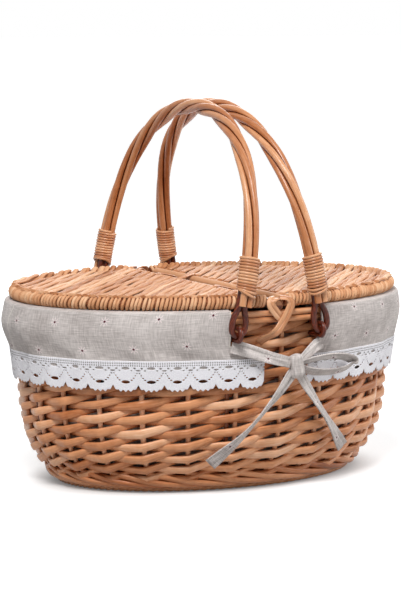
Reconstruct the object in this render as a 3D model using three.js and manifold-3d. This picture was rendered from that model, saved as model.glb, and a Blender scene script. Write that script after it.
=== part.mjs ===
// Oval willow picnic basket: woven body, two flap lids on a centre bar, two swing handles, a cloth liner.
// Millimetres, +Z up, origin on the floor under the middle of the oval. X runs along the oval, Y across it.
// The half at -Y is the near side. The far side is the near side turned half a turn about Z.

import * as THREE from "three";
import { mergeVertices } from "three/addons/utils/BufferGeometryUtils.js";
import Module from "manifold-3d";

const wasm = await Module();
wasm.setup();

// Driving dimensions
const gap = 0.4; // clearance between neighbouring pieces
const ovalLength = 199; // half length of the closed lids, which is the basket's outline
const ovalWidth = 145.5; // half width of the closed lids
const ovalSteps = 36;
const rimTop = 174.6; // top of the body's border
const rimInset = 5.5; // outer face of the wall at the rim, in from the lids' outline
const wallTaper = 3.5; // how far the wall draws in evenly from rim to foot
const footTuck = 41; // how much further it curls in at the foot
const wallThick = 7;
const wallFoot = 8; // height where the wall starts, above the foot
const stakeCount = 25; // upright stakes that the wall is woven on
const firstStake = 3.264; // angle of one of them
const strandLow = 19.3; // lowest strand that passes in front of the stakes
const strandPitch = 13.8; // from one strand in front of a stake to the next
const strandRows = 7; // strands in front of each stake, up to the lace
const weaveDepth = 5; // the wall lies back this far between them
const weaveThick = 9; // the wall at the standing strands
const weaveZs = [100, 60, 35]; // heights on its inner face where it has that thickness
const baseThick = 6;
const baseRaise = 1; // underside of the base above the wall's lower edge
const footRadius = 4;
const footInset = 48.5;
const borderRadius = 2.75; // each of the two rods laid along the rim
const borderGap = 0.3; // between the two border rods
const lidEdgeRadius = 6.5;
const lidEdgeEndX = 8.5; // the bent edge rod stops here, just past the hinge line
const lidAxisX = 12.5; // hinge line of each lid, from the middle
const lidAxisZ = 183;
const lidRodRadius = 4.5;
const lidPanelThick = 7;
const lidRidgePitch = 9; // from one woven ridge of the panel to the next
const lidRidgeDepth = 2.4;
const lidRidgeSlant = 50; // degrees from X
const lidRodGap = 2; // between the ends of the hinge rod and the edge rod
const barRadius = 4.5;
const tieYs = [70, -50]; // hinge ties of the left lid along its hinge line
const tieWidth = 9;
const tieThick = 1.6;
const tiePlay = 0.5; // between a tie and the rods that it holds
const tieNotch = 12; // side of the notch in the lid's panel that a tie passes through
const lashWidth = 9;
const lashThick = 1.6;
const lashStand = 2.2; // the lashing stands this far in front of the lids' outline
const handleFootX = 43.8; // pivot of each handle, from the middle
const handleFootY = 154.5;
const pivotZ = 160.7;
const archFootZ = 180; // the legs are straight up to here
const archTopZ = 358; // centre of the grip at its highest point
const archTopX = 9.8;
const archRoundY = 2.11; // powers of the arch's rounded outline, across and up
const archRoundZ = 2.42;
const rodRadius = 3.5;
const rodSpread = 4.25; // centre of each twisted rod from the grip's own centre
const rodSteps = 42;
const rodFoot = 21; // lower end of two of the rods, along the leg from the pivot
const rodTuck = 6; // the third rod ends this far below the top of the binding
const twistTurns = 2;
const bindTurns = 11;
const bindSteps = 8;
const bindLow = 30.7; // ends of the cane binding, along the leg from the pivot
const bindHigh = 66.2;
const bindHalfWidth = 1.35;
const bindHalfThick = 0.85;
const loopRadius = 2.4; // strand of the handle loop
const loopInner = 4.2;
const loopBound = 7; // the loop's bound end stops this far below the top of the binding
const rimLoopRadius = 2.2; // strand of the rim loop
const rimLoopDrop = 11.7; // its lower run under its upper run
const rimLoopHole = 7; // side of each hole in the wall that the rim loop passes through
const clothThick = 1.2;
const linerGap = 8.5; // the bag hangs this far inside the wall
const linerTop = 163;
const linerRaise = 1; // bottom of the bag above the base
const bagSteps = 28;
const cuffSteps = 32;
const cuffBottom = 130;
const cuffWaist = 143; // height where the cuff starts to lean out
const cuffBelly = 158; // height where it stands furthest out
const cuffTurn = 172.8; // height where it turns in over the border
const cuffEnd = 166; // its inner edge, inside the wall
const cuffFolds = 8; // soft upright folds along each cuff
const foldDepth = 1.3;
const laceBottom = 101;
const laceThick = 1;
const ribbonWidth = 13;
const ribbonThick = 1.2;

// Colour and roughness of each finish
const finishes = {
  willow: [0xb9733f, 0.55],
  paleWillow: [0xd9a878, 0.55],
  cane: [0xc98d5e, 0.5],
  brownLoop: [0x5a2418, 0.4],
  linen: [0xbdb7b0, 0.9],
  cotton: [0xf2f2f6, 0.9],
};

const basket = new THREE.Group();

function place(name, geometry, finish) {
  const [color, roughness] = finishes[finish];
  const mesh = new THREE.Mesh(geometry, new THREE.MeshStandardMaterial({ color, roughness, metalness: 0 }));
  mesh.name = name;
  basket.add(mesh);
}

// Geometry helpers
const vec = (x, y, z) => new THREE.Vector3(x, y, z);
const mix = (a, b, t) => a + (b - a) * t;
const range = (count, make) => Array.from({ length: count }, (_, i) => make(i));

// A solid of triangles, with its faces turned outwards
function solidFrom(points, faces) {
  let volume = 0;
  for (let i = 0; i < faces.length; i += 3) {
    const [a, b, c] = faces.slice(i, i + 3).map((k) => points[k]);
    volume += a.dot(b.clone().cross(c));
  }
  if (volume < 0) faces.reverse();
  return new THREE.BufferGeometry().setFromPoints(points).setIndex(faces);
}

// Triangles that close one ring of points, in pairs from its first and last point inwards
function capFaces(first, count) {
  return range(count / 2 - 1, (k) => {
    const [a, b, c, d] = [k, k + 1, count - 2 - k, count - 1 - k].map((i) => first + i);
    return [a, b, c, a, c, d];
  }).flat();
}

// A closed solid through a row of rings with the same number of points
function loft(rings, joined = false) {
  const count = rings[0].length;
  const faces = [];
  for (let i = 0; i < rings.length - (joined ? 0 : 1); i++) {
    const a = i * count;
    const b = ((i + 1) % rings.length) * count;
    for (let j = 0; j < count; j++) {
      const k = (j + 1) % count;
      faces.push(a + j, a + k, b + k, a + j, b + k, b + j);
    }
  }
  if (!joined) {
    faces.push(...capFaces(0, count).reverse());
    faces.push(...capFaces((rings.length - 1) * count, count));
  }
  return solidFrom(rings.flat(), faces);
}

// A round or flattened section about a point, in the plane of two directions
function section(centre, u, v, ru, rv, sides) {
  return range(sides, (i) => {
    const t = ((i + 0.5) / sides) * 2 * Math.PI;
    return centre.clone().addScaledVector(u, ru * Math.cos(t)).addScaledVector(v, rv * Math.sin(t));
  });
}

// A tube along points that lie near one plane with the given normal
function tube(points, normal, radius, sides, joined = false) {
  const count = points.length;
  const rings = points.map((p, i) => {
    const before = points[joined ? (i + count - 1) % count : Math.max(i - 1, 0)];
    const after = points[joined ? (i + 1) % count : Math.min(i + 1, count - 1)];
    const along = after.clone().sub(before).normalize();
    const side = normal.clone().cross(along).normalize();
    return section(p, side, along.clone().cross(side), radius, radius, sides);
  });
  return loft(rings, joined);
}

// A flat band along points, as wide as width(t) in the direction wide(t)
function band(points, wide, width, thick) {
  const last = points.length - 1;
  const rings = points.map((p, i) => {
    const along = points[Math.min(i + 1, last)].clone().sub(points[Math.max(i - 1, 0)]).normalize();
    const across = wide(i / last);
    across.addScaledVector(along, -across.dot(along)).normalize();
    const through = along.clone().cross(across);
    const half = width(i / last) / 2;
    const edge = (side) => p.clone().addScaledVector(across, side * half);
    const corner = (side, face) => edge(side).addScaledVector(through, (face * thick) / 2);
    return [corner(-1, -1), corner(1, -1), corner(1, 1), corner(-1, 1)];
  });
  return loft(rings);
}

function toManifold(geometry) {
  const bare = geometry.clone();
  bare.deleteAttribute("normal");
  bare.deleteAttribute("uv");
  const merged = mergeVertices(bare, 1e-4);
  const mesh = new wasm.Mesh({
    numProp: 3,
    vertProperties: merged.attributes.position.array,
    triVerts: new Uint32Array(merged.index.array),
  });
  return new wasm.Manifold(mesh);
}

function fromManifold(solid) {
  const mesh = solid.getMesh();
  return new THREE.BufferGeometry()
    .setAttribute("position", new THREE.BufferAttribute(mesh.vertProperties, 3))
    .setIndex(new THREE.BufferAttribute(mesh.triVerts, 1));
}

const joined = (a, b) => fromManifold(toManifold(a).add(toManifold(b)));
const shared = (a, b) => fromManifold(toManifold(a).intersect(toManifold(b)));

function cut(shape, tools) {
  return fromManifold(tools.map(toManifold).reduce((rest, tool) => rest.subtract(tool), toManifold(shape)));
}

function boxAt(sizeX, sizeY, sizeZ, x, y, z) {
  return new THREE.BoxGeometry(sizeX, sizeY, sizeZ).translate(x, y, z);
}

const halfTurn = (geometry) => geometry.clone().rotateZ(Math.PI);

function mirrored(geometry) {
  const flipped = geometry.clone().scale(1, -1, 1);
  return flipped.setIndex([...flipped.index.array].reverse());
}

// The oval: inset is the distance in from the closed lids' outline
function onOval(inset, angle, z) {
  return vec((ovalLength - inset) * Math.cos(angle), (ovalWidth - inset) * Math.sin(angle), z);
}

// Inset of the wall's outer face at a height: near upright at the rim, curling in at the foot
function wallInset(z) {
  const down = 1 - z / rimTop;
  return rimInset + wallTaper * down + footTuck * down ** 6;
}

// Point on the near side, standing off the wall's outer face
function nearSide(x, z, off) {
  const inset = wallInset(z) - off;
  const share = x / (ovalLength - inset);
  return vec(x, -(ovalWidth - inset) * Math.sqrt(1 - share * share), z);
}

// A solid of one profile [inset, z] carried all the way round the oval
function roundOval(profile) {
  const angles = range(ovalSteps, (i) => (i / ovalSteps) * 2 * Math.PI);
  return loft(angles.map((angle) => profile.map(([inset, z]) => onOval(inset, angle, z))), true);
}

function rodProfile(inset, z, radius, sides) {
  const ring = section(vec(inset, z, 0), vec(1, 0, 0), vec(0, 1, 0), radius, radius, sides);
  return ring.map((p) => [p.x, p.y]);
}

// Woven body: foot, base, wall and border. The foot's eight-sided section has a flat side down.
const wallTop = rimTop - borderRadius;
const weaveTop = strandLow + (strandRows - 0.5) * strandPitch; // above this the wall is plain
const footZ = footRadius * Math.cos(Math.PI / 8);
const baseBottom = wallFoot + baseRaise;
const rimLoopZs = [pivotZ, pivotZ - rimLoopDrop];

// The wall's outer face as rows [z, depth at a stake, depth between stakes], with the strands standing out
function wovenRows() {
  const woven = range(2 * strandRows - 1, (i) => {
    const depth = i % 2 === 0 ? 0 : weaveDepth;
    return [strandLow + (i * strandPitch) / 2, depth, weaveDepth / 2];
  });
  return [[wallFoot, 0, 0], ...woven, [weaveTop, 0, 0], [wallTop, 0, 0]];
}

function sideWeave() {
  const outer = wovenRows();
  const inner = [
    [wallTop, wallThick],
    [weaveTop, wallThick],
    ...weaveZs.map((z) => [z, weaveThick]),
    [strandLow, wallThick],
    [wallFoot, wallThick],
  ];
  const rings = range(2 * stakeCount, (i) => {
    const angle = firstStake + (i / stakeCount) * Math.PI;
    const face = outer.map(([z, atStake, between]) => [z, i % 2 ? between : atStake]);
    return [...face, ...inner].map(([z, depth]) => onOval(wallInset(z) + depth, angle, z));
  });
  const wall = loft(rings, true);
  const holeLength = 4 * wallThick;
  const holes = [-1, 1].flatMap((sideX) =>
    [-1, 1].flatMap((sideY) =>
      rimLoopZs.map((z) => {
        const y = sideY * (ovalWidth - rimInset - wallThick);
        return boxAt(rimLoopHole, holeLength, rimLoopHole, sideX * handleFootX, y, z);
      }),
    ),
  );
  return cut(wall, holes);
}

function baseWeave() {
  const inset = wallInset(wallFoot) + wallThick + 3 * gap;
  const outline = new THREE.Shape();
  outline.absellipse(0, 0, ovalLength - inset, ovalWidth - inset, 0, 2 * Math.PI);
  const options = { depth: baseThick, bevelEnabled: false, curveSegments: 20 };
  return new THREE.ExtrudeGeometry(outline, options).translate(0, 0, baseBottom);
}

place("foot_border", roundOval(rodProfile(footInset, footZ, footRadius, 8)), "willow");
place("base_weave", baseWeave(), "willow");
place("side_weave", sideWeave(), "willow");

const borderInset = rimInset - gap - borderRadius;
const borderUpperZ = rimTop - borderRadius;
const borderLowerZ = borderUpperZ - 2 * borderRadius - borderGap;
place("border_rod_upper", roundOval(rodProfile(borderInset, borderUpperZ, borderRadius, 6)), "willow");
place("border_rod_lower", roundOval(rodProfile(borderInset, borderLowerZ, borderRadius, 6)), "willow");

// Centre bar over the border, the cane crossed over each of its ends, and the hinge ties of the lids
const barZ = rimTop + 2 * gap + barRadius;

function rodAlongY(x, z, radius, halfLength, sides) {
  return new THREE.CylinderGeometry(radius, radius, 2 * halfLength, sides).translate(x, 0, z);
}

// Each strip starts in front of the bar's end, crosses the border rods and lies down on the wall
function lashing() {
  const frontY = -ovalWidth - lashStand;
  const wallY = (z) => -(ovalWidth - wallInset(z)) - gap - lashThick;
  const strip = (side) => {
    const points = [
      vec(-11 * side, frontY, barZ + barRadius),
      vec(-4 * side, frontY, borderUpperZ),
      vec(5 * side, frontY, 160),
      vec(12 * side, wallY(149), 149),
      vec(17 * side, wallY(138), 138),
    ];
    return band(points, () => vec(1, 0, 0), () => lashWidth, lashThick);
  };
  return joined(strip(1), strip(-1));
}

// A band round the bar and the left lid's hinge rod, with two round ends
function hingeTie(y) {
  const lean = Math.atan2(lidAxisZ - barZ, -lidAxisX);
  const quarter = Math.PI / 2;
  const outline = (shape, radius) => {
    shape.absarc(0, barZ, radius, lean + quarter, lean + 3 * quarter, false);
    shape.absarc(-lidAxisX, lidAxisZ, radius, lean - quarter, lean + quarter, false);
    return shape;
  };
  const inner = lidRodRadius + tiePlay;
  const shape = outline(new THREE.Shape(), inner + tieThick);
  shape.holes.push(outline(new THREE.Path(), inner));
  const tie = new THREE.ExtrudeGeometry(shape, { depth: tieWidth, bevelEnabled: false, curveSegments: 5 });
  return tie.rotateX(quarter).translate(0, y + tieWidth / 2, 0);
}

place("centre_bar", rodAlongY(0, barZ, barRadius, ovalWidth - gap, 12), "willow");
place("bar_lashing_near", lashing(), "cane");
place("bar_lashing_far", halfTurn(lashing()), "cane");
tieYs.forEach((y, i) => {
  place(`hinge_tie_left_${i + 1}`, hingeTie(y), "cane");
  place(`hinge_tie_right_${i + 1}`, halfTurn(hingeTie(y)), "cane");
});

// Left lid: bent edge rod, hinge rod and woven panel. The right lid is the same, turned round.
const lidSteps = 26;

function lidEdge() {
  const end = Math.acos(-lidEdgeEndX / (ovalLength - lidEdgeRadius));
  const rings = range(lidSteps + 1, (i) => {
    const angle = mix(end, 2 * Math.PI - end, i / lidSteps);
    const centre = onOval(lidEdgeRadius, angle, lidAxisZ);
    const out = vec(Math.cos(angle) / ovalLength, Math.sin(angle) / ovalWidth, 0).normalize();
    return section(centre, out, vec(0, 0, 1), lidEdgeRadius, lidEdgeRadius, 8);
  });
  return loft(rings);
}

function lidPanel() {
  const inset = 2 * lidEdgeRadius + 2 * gap;
  const startX = lidAxisX + lidRodRadius + gap;
  const end = Math.acos(-startX / (ovalLength - inset));
  const outline = new THREE.Shape();
  outline.absellipse(0, 0, ovalLength - inset, ovalWidth - inset, end, 2 * Math.PI - end, false);
  const options = { depth: lidPanelThick, bevelEnabled: false, curveSegments: lidSteps };
  const panel = new THREE.ExtrudeGeometry(outline, options).translate(0, 0, lidAxisZ - lidPanelThick / 2);
  const notches = tieYs.map((y) => boxAt(tieNotch, tieNotch, 3 * lidPanelThick, -startX, y, lidAxisZ));
  return cut(shared(panel, lidRidges()), notches);
}

// A sheet pleated into straight slanting ridges, larger than one lid
function lidRidges() {
  const count = Math.ceil((2 * ovalWidth) / lidRidgePitch) + 1;
  const half = lidPanelThick / 2;
  const crest = (i) => (i % 2 === 0 ? 0 : -lidRidgeDepth);
  const along = (i) => ((i - count) * lidRidgePitch) / 2;
  const top = range(2 * count + 1, (i) => new THREE.Vector2(along(i), half + crest(i)));
  const bottom = range(2 * count + 1, (i) => new THREE.Vector2(along(i), lidRidgeDepth - half + crest(i)));
  const options = { depth: 4 * ovalWidth, bevelEnabled: false };
  const sheet = new THREE.ExtrudeGeometry(new THREE.Shape([...top, ...bottom.reverse()]), options);
  sheet.translate(0, 0, -2 * ovalWidth).rotateX(Math.PI / 2);
  return sheet.rotateZ(THREE.MathUtils.degToRad(lidRidgeSlant - 90)).translate(-ovalLength / 2, 0, lidAxisZ);
}

const lidRodHalf = ovalWidth - 2 * lidEdgeRadius - lidRodGap;
const lidRod = rodAlongY(-lidAxisX, lidAxisZ, lidRodRadius, lidRodHalf, 10);
for (const [side, turn] of [["left", (g) => g], ["right", halfTurn]]) {
  place(`lid_${side}_edge`, turn(lidEdge()), "paleWillow");
  place(`lid_${side}_hinge_rod`, turn(lidRod), "paleWillow");
  place(`lid_${side}_weave`, turn(lidPanel()), "paleWillow");
}

// Left handle: its centre line lies in a plane that leans in, with straight legs and a flattened arch
const leanAngle = Math.atan((handleFootX - archTopX) / (archTopZ - pivotZ));
const planeUp = vec(Math.sin(leanAngle), 0, Math.cos(leanAngle));
const planeNormal = vec(Math.cos(leanAngle), 0, -Math.sin(leanAngle));
const legHeight = (archFootZ - pivotZ) / Math.cos(leanAngle);
const archHeight = (archTopZ - archFootZ) / Math.cos(leanAngle);
const inPlane = (y, h) => vec(-handleFootX, y, pivotZ).addScaledVector(planeUp, h);

function archPoint(t) {
  const across = -Math.cos(Math.PI * t);
  const y = handleFootY * Math.sign(across) * Math.abs(across) ** (2 / archRoundY);
  return inPlane(y, legHeight + archHeight * Math.sin(Math.PI * t) ** (2 / archRoundZ));
}

const archLine = new THREE.CatmullRomCurve3(range(201, (i) => archPoint(i / 200)));
archLine.arcLengthDivisions = 800;
const archLength = archLine.getLength();

// Place on the centre line at length s from the foot of the arch, and the direction to the arch's inside
function gripFrame(s) {
  if (s < 0 || s > archLength) {
    const side = s < 0 ? -1 : 1;
    const drop = s < 0 ? -s : s - archLength;
    return { point: inPlane(side * handleFootY, legHeight - drop), inward: vec(0, -side, 0) };
  }
  const share = s / archLength;
  const along = archLine.getTangentAt(share);
  return { point: archLine.getPointAt(share), inward: along.cross(planeNormal) };
}

// The rods lie straight at the feet and twist most over the top
function twistAt(s) {
  const share = Math.min(Math.max(s / archLength, 0), 1);
  return (share * 2 * Math.PI - Math.sin(2 * Math.PI * share)) * twistTurns;
}

function around({ point, inward }, angle, radius) {
  const side = planeNormal.clone().multiplyScalar(radius * Math.sin(angle));
  return point.clone().addScaledVector(inward, radius * Math.cos(angle)).add(side);
}

function handleRod(index, foot) {
  const drop = legHeight - foot;
  const points = range(rodSteps + 1, (i) => {
    const s = mix(-drop, archLength + drop, i / rodSteps);
    return around(gripFrame(s), twistAt(s) + (index * 2 * Math.PI) / 3, rodSpread);
  });
  return tube(points, planeNormal, rodRadius, 6);
}

// Flat cane wound round the near foot of a leg as one helix
const bindRadius = rodSpread + rodRadius + 2 * bindHalfThick;

const bindRings = range(bindTurns * bindSteps + 1, (i) => {
  const frame = gripFrame(mix(bindLow, bindHigh, i / (bindTurns * bindSteps)) - legHeight);
  const middle = around(frame, (i / bindSteps) * 2 * Math.PI, bindRadius);
  const out = middle.clone().sub(frame.point).normalize();
  return section(middle, out, planeUp, bindHalfThick * Math.SQRT2, bindHalfWidth * Math.SQRT2, 4);
});

// Gaps between each ring and the rings most of a turn or more before it
const ringGap = (ring, earlier) => Math.min(...ring.flatMap((p) => earlier.map((q) => p.distanceTo(q))));
const turnGaps = bindRings.slice(bindSteps).flatMap((ring, i) =>
  bindRings.slice(0, i + 2).map((earlier) => ringGap(ring, earlier)),
);
console.log(`cane binding: least gap to itself ${Math.min(...turnGaps).toFixed(2)} mm`);

// Brown loop at a foot: bound beside the rods, down round the rim loop, and up again to the rods' ends
function handleLoop() {
  const radius = loopInner + loopRadius;
  const y = -handleFootY + rodSpread;
  const at = (x, h) => inPlane(y, h).addScaledVector(planeNormal, x);
  const bottom = range(9, (i) => {
    const t = Math.PI * (i / 8);
    return at(radius * Math.cos(t), -radius * Math.sin(t));
  });
  const bound = [at(0, bindHigh - loopBound), at(0, bindLow + 10), at(0, bindLow - 4)];
  const leaving = [at(3.4, 19), at(radius, 7)];
  const returning = [at(-radius, 5), at(-5.4, 12), at(-3.2, 17)];
  const route = [...bound, ...leaving, ...bottom, ...returning];
  const curve = new THREE.CatmullRomCurve3(route, false, "centripetal");
  return tube(curve.getPoints(28), vec(0, 1, 0), loopRadius, 6);
}

// Closed loop through the wall under the border, linked through the handle loop
function rimLoop() {
  const end = rimLoopDrop / 2;
  const middleZ = pivotZ - end;
  const frontY = -handleFootY + rodSpread;
  const share = handleFootX / (ovalLength - rimInset - wallThick);
  const wallY = -(ovalWidth - rimInset - wallThick) * Math.sqrt(1 - share * share);
  const backY = wallY - gap;
  const arc = (y, from) =>
    range(7, (i) => {
      const t = from + Math.PI * (i / 6);
      return vec(-handleFootX, y - end * Math.cos(t), middleZ + end * Math.sin(t));
    });
  const points = [...arc(frontY, -Math.PI / 2), ...arc(backY, Math.PI / 2)];
  return tube(points, vec(1, 0, 0), rimLoopRadius, 6, true);
}

const handleSides = [
  ["left", (g) => g, ["near", "far"]],
  ["right", halfTurn, ["far", "near"]],
];
for (const [side, turn, ends] of handleSides) {
  const feet = [bindHigh - rodTuck, rodFoot, rodFoot];
  feet.forEach((foot, i) => place(`handle_${side}_rod_${i + 1}`, turn(handleRod(i, foot)), "willow"));
  ends.forEach((end, i) => {
    const flip = i === 0 ? (g) => g : mirrored;
    place(`handle_${side}_binding_${end}`, turn(flip(loft(bindRings))), "cane");
    place(`handle_${side}_loop_${end}`, turn(flip(handleLoop())), "brownLoop");
    place(`rim_loop_${side}_${end}`, turn(flip(rimLoop())), "brownLoop");
  });
}

// Liner bag: a thin shell inside the wall, with a bottom
function linerBag() {
  const heights = [baseBottom + baseThick + linerRaise, 26, 44, 80, 120, linerTop];
  const ovalRing = ([inset, z]) => range(bagSteps, (i) => onOval(inset, (i / bagSteps) * 2 * Math.PI, z));
  const bagInset = (z) => wallInset(z) + wallThick + linerGap;
  const outside = heights.map((z) => [bagInset(z), z]);
  const inside = heights.map((z, i) => [bagInset(z) + clothThick, i ? z : z + clothThick]);
  return loft([...outside, ...inside.reverse()].map(ovalRing));
}

// Edges of the left cuff and its lace on the near and far side, as X at a height
const nearEdge = [[rimTop, -48], [cuffWaist, -48], [cuffBottom, -12], [laceBottom, -12]];
const farEdge = [[rimTop, -48], [cuffWaist, -48], [cuffBottom, -37], [laceBottom, -35]];

function edgeX(edge, z) {
  const i = Math.max(edge.findIndex(([height]) => height <= z), 1);
  const [[z0, x0], [z1, x1]] = [edge[i - 1], edge[i]];
  return mix(x0, x1, Math.min(Math.max((z0 - z) / (z0 - z1), 0), 1));
}

// A strip of cloth along the left half of the oval. Each profile point is [inset, z, share of the folds].
function leftStrip(profile) {
  const rings = range(cuffSteps + 1, (i) => {
    const t = i / cuffSteps;
    const fold = 0.5 - 0.5 * Math.cos(2 * Math.PI * cuffFolds * t);
    return profile.map(([inset, z, share]) => {
      const near = 2 * Math.PI - Math.acos(edgeX(nearEdge, z) / ovalLength);
      const far = Math.acos(edgeX(farEdge, z) / ovalLength);
      return onOval(inset - foldDepth * fold * share, mix(near, far, t), z);
    });
  });
  return loft(rings);
}

// The cuff rises outside the border, goes over it and ends inside the wall
function cuff() {
  const topZ = rimTop + gap + clothThick;
  const insideWall = rimInset + wallThick + 4 * gap;
  const hanging = [
    [2.7, cuffBottom, 1],
    [0.8, cuffWaist, 0.8],
    [-2.2, cuffBelly, 0.4],
    [-2.4, cuffTurn, 0],
  ];
  const outer = [
    ...hanging,
    [-0.4, topZ, 0],
    [10, topZ, 0],
    [insideWall + clothThick, cuffTurn, 0],
    [insideWall + clothThick, cuffEnd, 0],
  ];
  const inner = [
    ...hanging.map(([inset, z, share]) => [inset + clothThick, z, share]),
    [0.3, topZ - clothThick, 0],
    [9.4, topZ - clothThick, 0],
    [insideWall, cuffTurn, 0],
    [insideWall, cuffEnd, 0],
  ];
  return leftStrip([...outer, ...inner.reverse()]);
}

function lace() {
  const top = cuffBottom - gap;
  const low = wallInset(laceBottom) - 2 * gap;
  return leftStrip([
    [low - laceThick, laceBottom, 0.7],
    [3, top, 1],
    [3 + laceThick, top, 1],
    [low, laceBottom, 0.7],
  ]);
}

place("liner_bag", linerBag(), "linen");
place("liner_cuff_left", cuff(), "linen");
place("liner_cuff_right", halfTurn(cuff()), "linen");
place("lace_left", lace(), "cotton");
place("lace_right", halfTurn(lace()), "cotton");

// Ties of the liner, knotted into a half bow at the middle of the near side.
// Route points are [x, z, off], with off the distance from the wall's outer face.
const knot = { x: 17.5, z: 123.5, off: 12.5, size: [7, 6, 9.5] };

function ribbon(route, wide, width = () => ribbonWidth) {
  const points = route.map(([x, z, off]) => nearSide(x, z, off));
  const curve = new THREE.CatmullRomCurve3(points, false, "centripetal");
  return band(curve.getPoints(3 * (route.length - 1)), () => wide.clone(), width, ribbonThick);
}

function knotBall() {
  const { x, y, z } = nearSide(knot.x, knot.z, knot.off);
  return new THREE.SphereGeometry(1, 12, 8).rotateX(Math.PI / 2).scale(...knot.size).translate(x, y, z);
}

// A tail is gathered where it leaves the knot and half way down, and opens out at its end
const tailWidth = (t) => ribbonWidth * (0.8 + 0.3 * t - 0.35 * Math.sin(Math.PI * t) ** 2);

const routes = {
  strapLeft: [[-40, 141, 8], [-25, 137, 8.5], [-8, 131, 10], [9, 126, 12]],
  strapRight: [[38, 138, 8], [32, 134, 9.5], [26.5, 129, 12]],
  loopOut: [[26, 123, 16], [50, 121.5, 17.5], [75, 120, 16], [88, 119, 12.5]],
  loopBack: [[75, 118, 9], [50, 119, 8.5], [26, 121, 9.5]],
  tailLeft: [[13, 112, 10], [-4, 92, 7], [-32, 60, 5], [-59, 31, 4]],
  tailRight: [[22, 112, 11], [38, 93, 8], [64, 61, 5], [88, 35, 4]],
};

const bowPieces = {
  strap_left: ribbon(routes.strapLeft, vec(0.3, 0, 1)),
  strap_right: ribbon(routes.strapRight, vec(-0.5, 0, 1)),
  bow_loop: ribbon([...routes.loopOut, ...routes.loopBack], vec(0, 0, 1)),
  tail_left: ribbon(routes.tailLeft, vec(0.76, 0, -0.65), tailWidth),
  tail_right: ribbon(routes.tailRight, vec(0.77, 0, 0.64), tailWidth),
  knot: knotBall(),
};

for (const [piece, geometry] of Object.entries(bowPieces)) {
  place(`near_${piece}`, geometry, "linen");
  place(`far_${piece}`, halfTurn(geometry), "linen");
}

export default basket;
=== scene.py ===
import math

import bmesh
import bpy
import numpy as np
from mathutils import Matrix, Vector


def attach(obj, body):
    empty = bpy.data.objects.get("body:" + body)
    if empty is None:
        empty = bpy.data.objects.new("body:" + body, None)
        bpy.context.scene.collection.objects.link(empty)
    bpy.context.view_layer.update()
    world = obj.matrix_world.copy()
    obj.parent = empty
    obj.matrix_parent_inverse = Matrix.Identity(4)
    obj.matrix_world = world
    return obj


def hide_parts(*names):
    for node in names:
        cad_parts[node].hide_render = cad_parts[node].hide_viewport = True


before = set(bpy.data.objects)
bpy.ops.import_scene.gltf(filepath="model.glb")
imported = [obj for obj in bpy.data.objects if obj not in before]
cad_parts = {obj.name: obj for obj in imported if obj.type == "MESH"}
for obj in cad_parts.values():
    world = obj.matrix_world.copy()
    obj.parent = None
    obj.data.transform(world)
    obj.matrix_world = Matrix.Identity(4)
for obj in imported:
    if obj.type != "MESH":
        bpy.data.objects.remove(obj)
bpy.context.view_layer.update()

mm = 0.001
fullTurn = 2 * math.pi
print("frame loaded:", len(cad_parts), "nodes")


# A piece's sizes: a dictionary whose values are also read by name
class Sizes(dict):
    __getattr__ = dict.__getitem__


# Node trees: one class carries an output, and sums on it add Math or Vector Math nodes

def onLeft(operation):
    return lambda self, other: self.maths(operation, self, other)


def onRight(operation):
    return lambda self, other: self.maths(operation, other, self)


class Wire:
    def __init__(self, tree, socket=None):
        self.tree = tree
        self.socket = socket

    def node(self, kind, inputs=None, out=0, **settings):
        made = self.tree.nodes.new(kind)
        for key, value in settings.items():
            setattr(made, key, value)
        for key, value in (inputs or {}).items():
            if isinstance(value, Wire):
                self.tree.links.new(value.socket, made.inputs[key])
            else:
                made.inputs[key].default_value = value
        return Wire(self.tree, made.outputs[out])

    def then(self, kind, inputs=None, out=0, **settings):
        return self.node("GeometryNode" + kind, {0: self, **(inputs or {})}, out, **settings)

    def also(self, out):
        return Wire(self.tree, self.socket.node.outputs[out])

    def maths(self, operation, *values):
        isVector = any(isinstance(v, Wire) and v.socket.type == "VECTOR" for v in values)
        if isVector:
            values = [v if isinstance(v, Wire) or np.ndim(v) else (v, v, v) for v in values]
        kind = "ShaderNodeVectorMath" if isVector else "ShaderNodeMath"
        return self.node(kind, dict(enumerate(values)), operation=operation)

    __add__, __radd__ = onLeft("ADD"), onRight("ADD")
    __sub__, __rsub__ = onLeft("SUBTRACT"), onRight("SUBTRACT")
    __mul__, __rmul__ = onLeft("MULTIPLY"), onRight("MULTIPLY")
    __truediv__, __rtruediv__ = onLeft("DIVIDE"), onRight("DIVIDE")
    __pow__ = onLeft("POWER")

    def __neg__(self):
        return self * -1


# The same formulas work on numbers, on arrays and in a node tree

def formula(operation, plain):
    return lambda x, *more: x.maths(operation, x, *more) if isinstance(x, Wire) else plain(x, *more)


sine = formula("SINE", np.sin)
cosine = formula("COSINE", np.cos)
root = formula("SQRT", np.sqrt)
floor = formula("FLOOR", np.floor)
absolute = formula("ABSOLUTE", np.abs)
atLeast = formula("MAXIMUM", np.maximum)
atMost = formula("MINIMUM", np.minimum)


def between(x, low, high):
    return atMost(atLeast(x, low), high)


def mix(a, b, share):
    return a + (b - a) * share


def combine(x, y, z):
    wire = next(v for v in (x, y, z) if isinstance(v, Wire))
    return wire.node("ShaderNodeCombineXYZ", {"X": x, "Y": y, "Z": z})


def parts(vector):
    x = vector.node("ShaderNodeSeparateXYZ", {"Vector": vector})
    return x, x.also("Y"), x.also("Z")


def noise(place, scale, detail):
    return place.node("ShaderNodeTexNoise", {"Vector": place, "Scale": scale, "Detail": detail})


# A slow sway along x, of its own for each row
def wobble(x, row):
    rowGap = 7.3
    return noise(combine(x, row * rowGap, 0.0), 1.0, 1.0) - 0.5


def chance(row, seed, low=0.0, high=1.0):
    values = {2: low, 3: high, "ID": row, "Seed": seed}
    return row.node("FunctionNodeRandomValue", values, 1, data_type="FLOAT")


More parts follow.
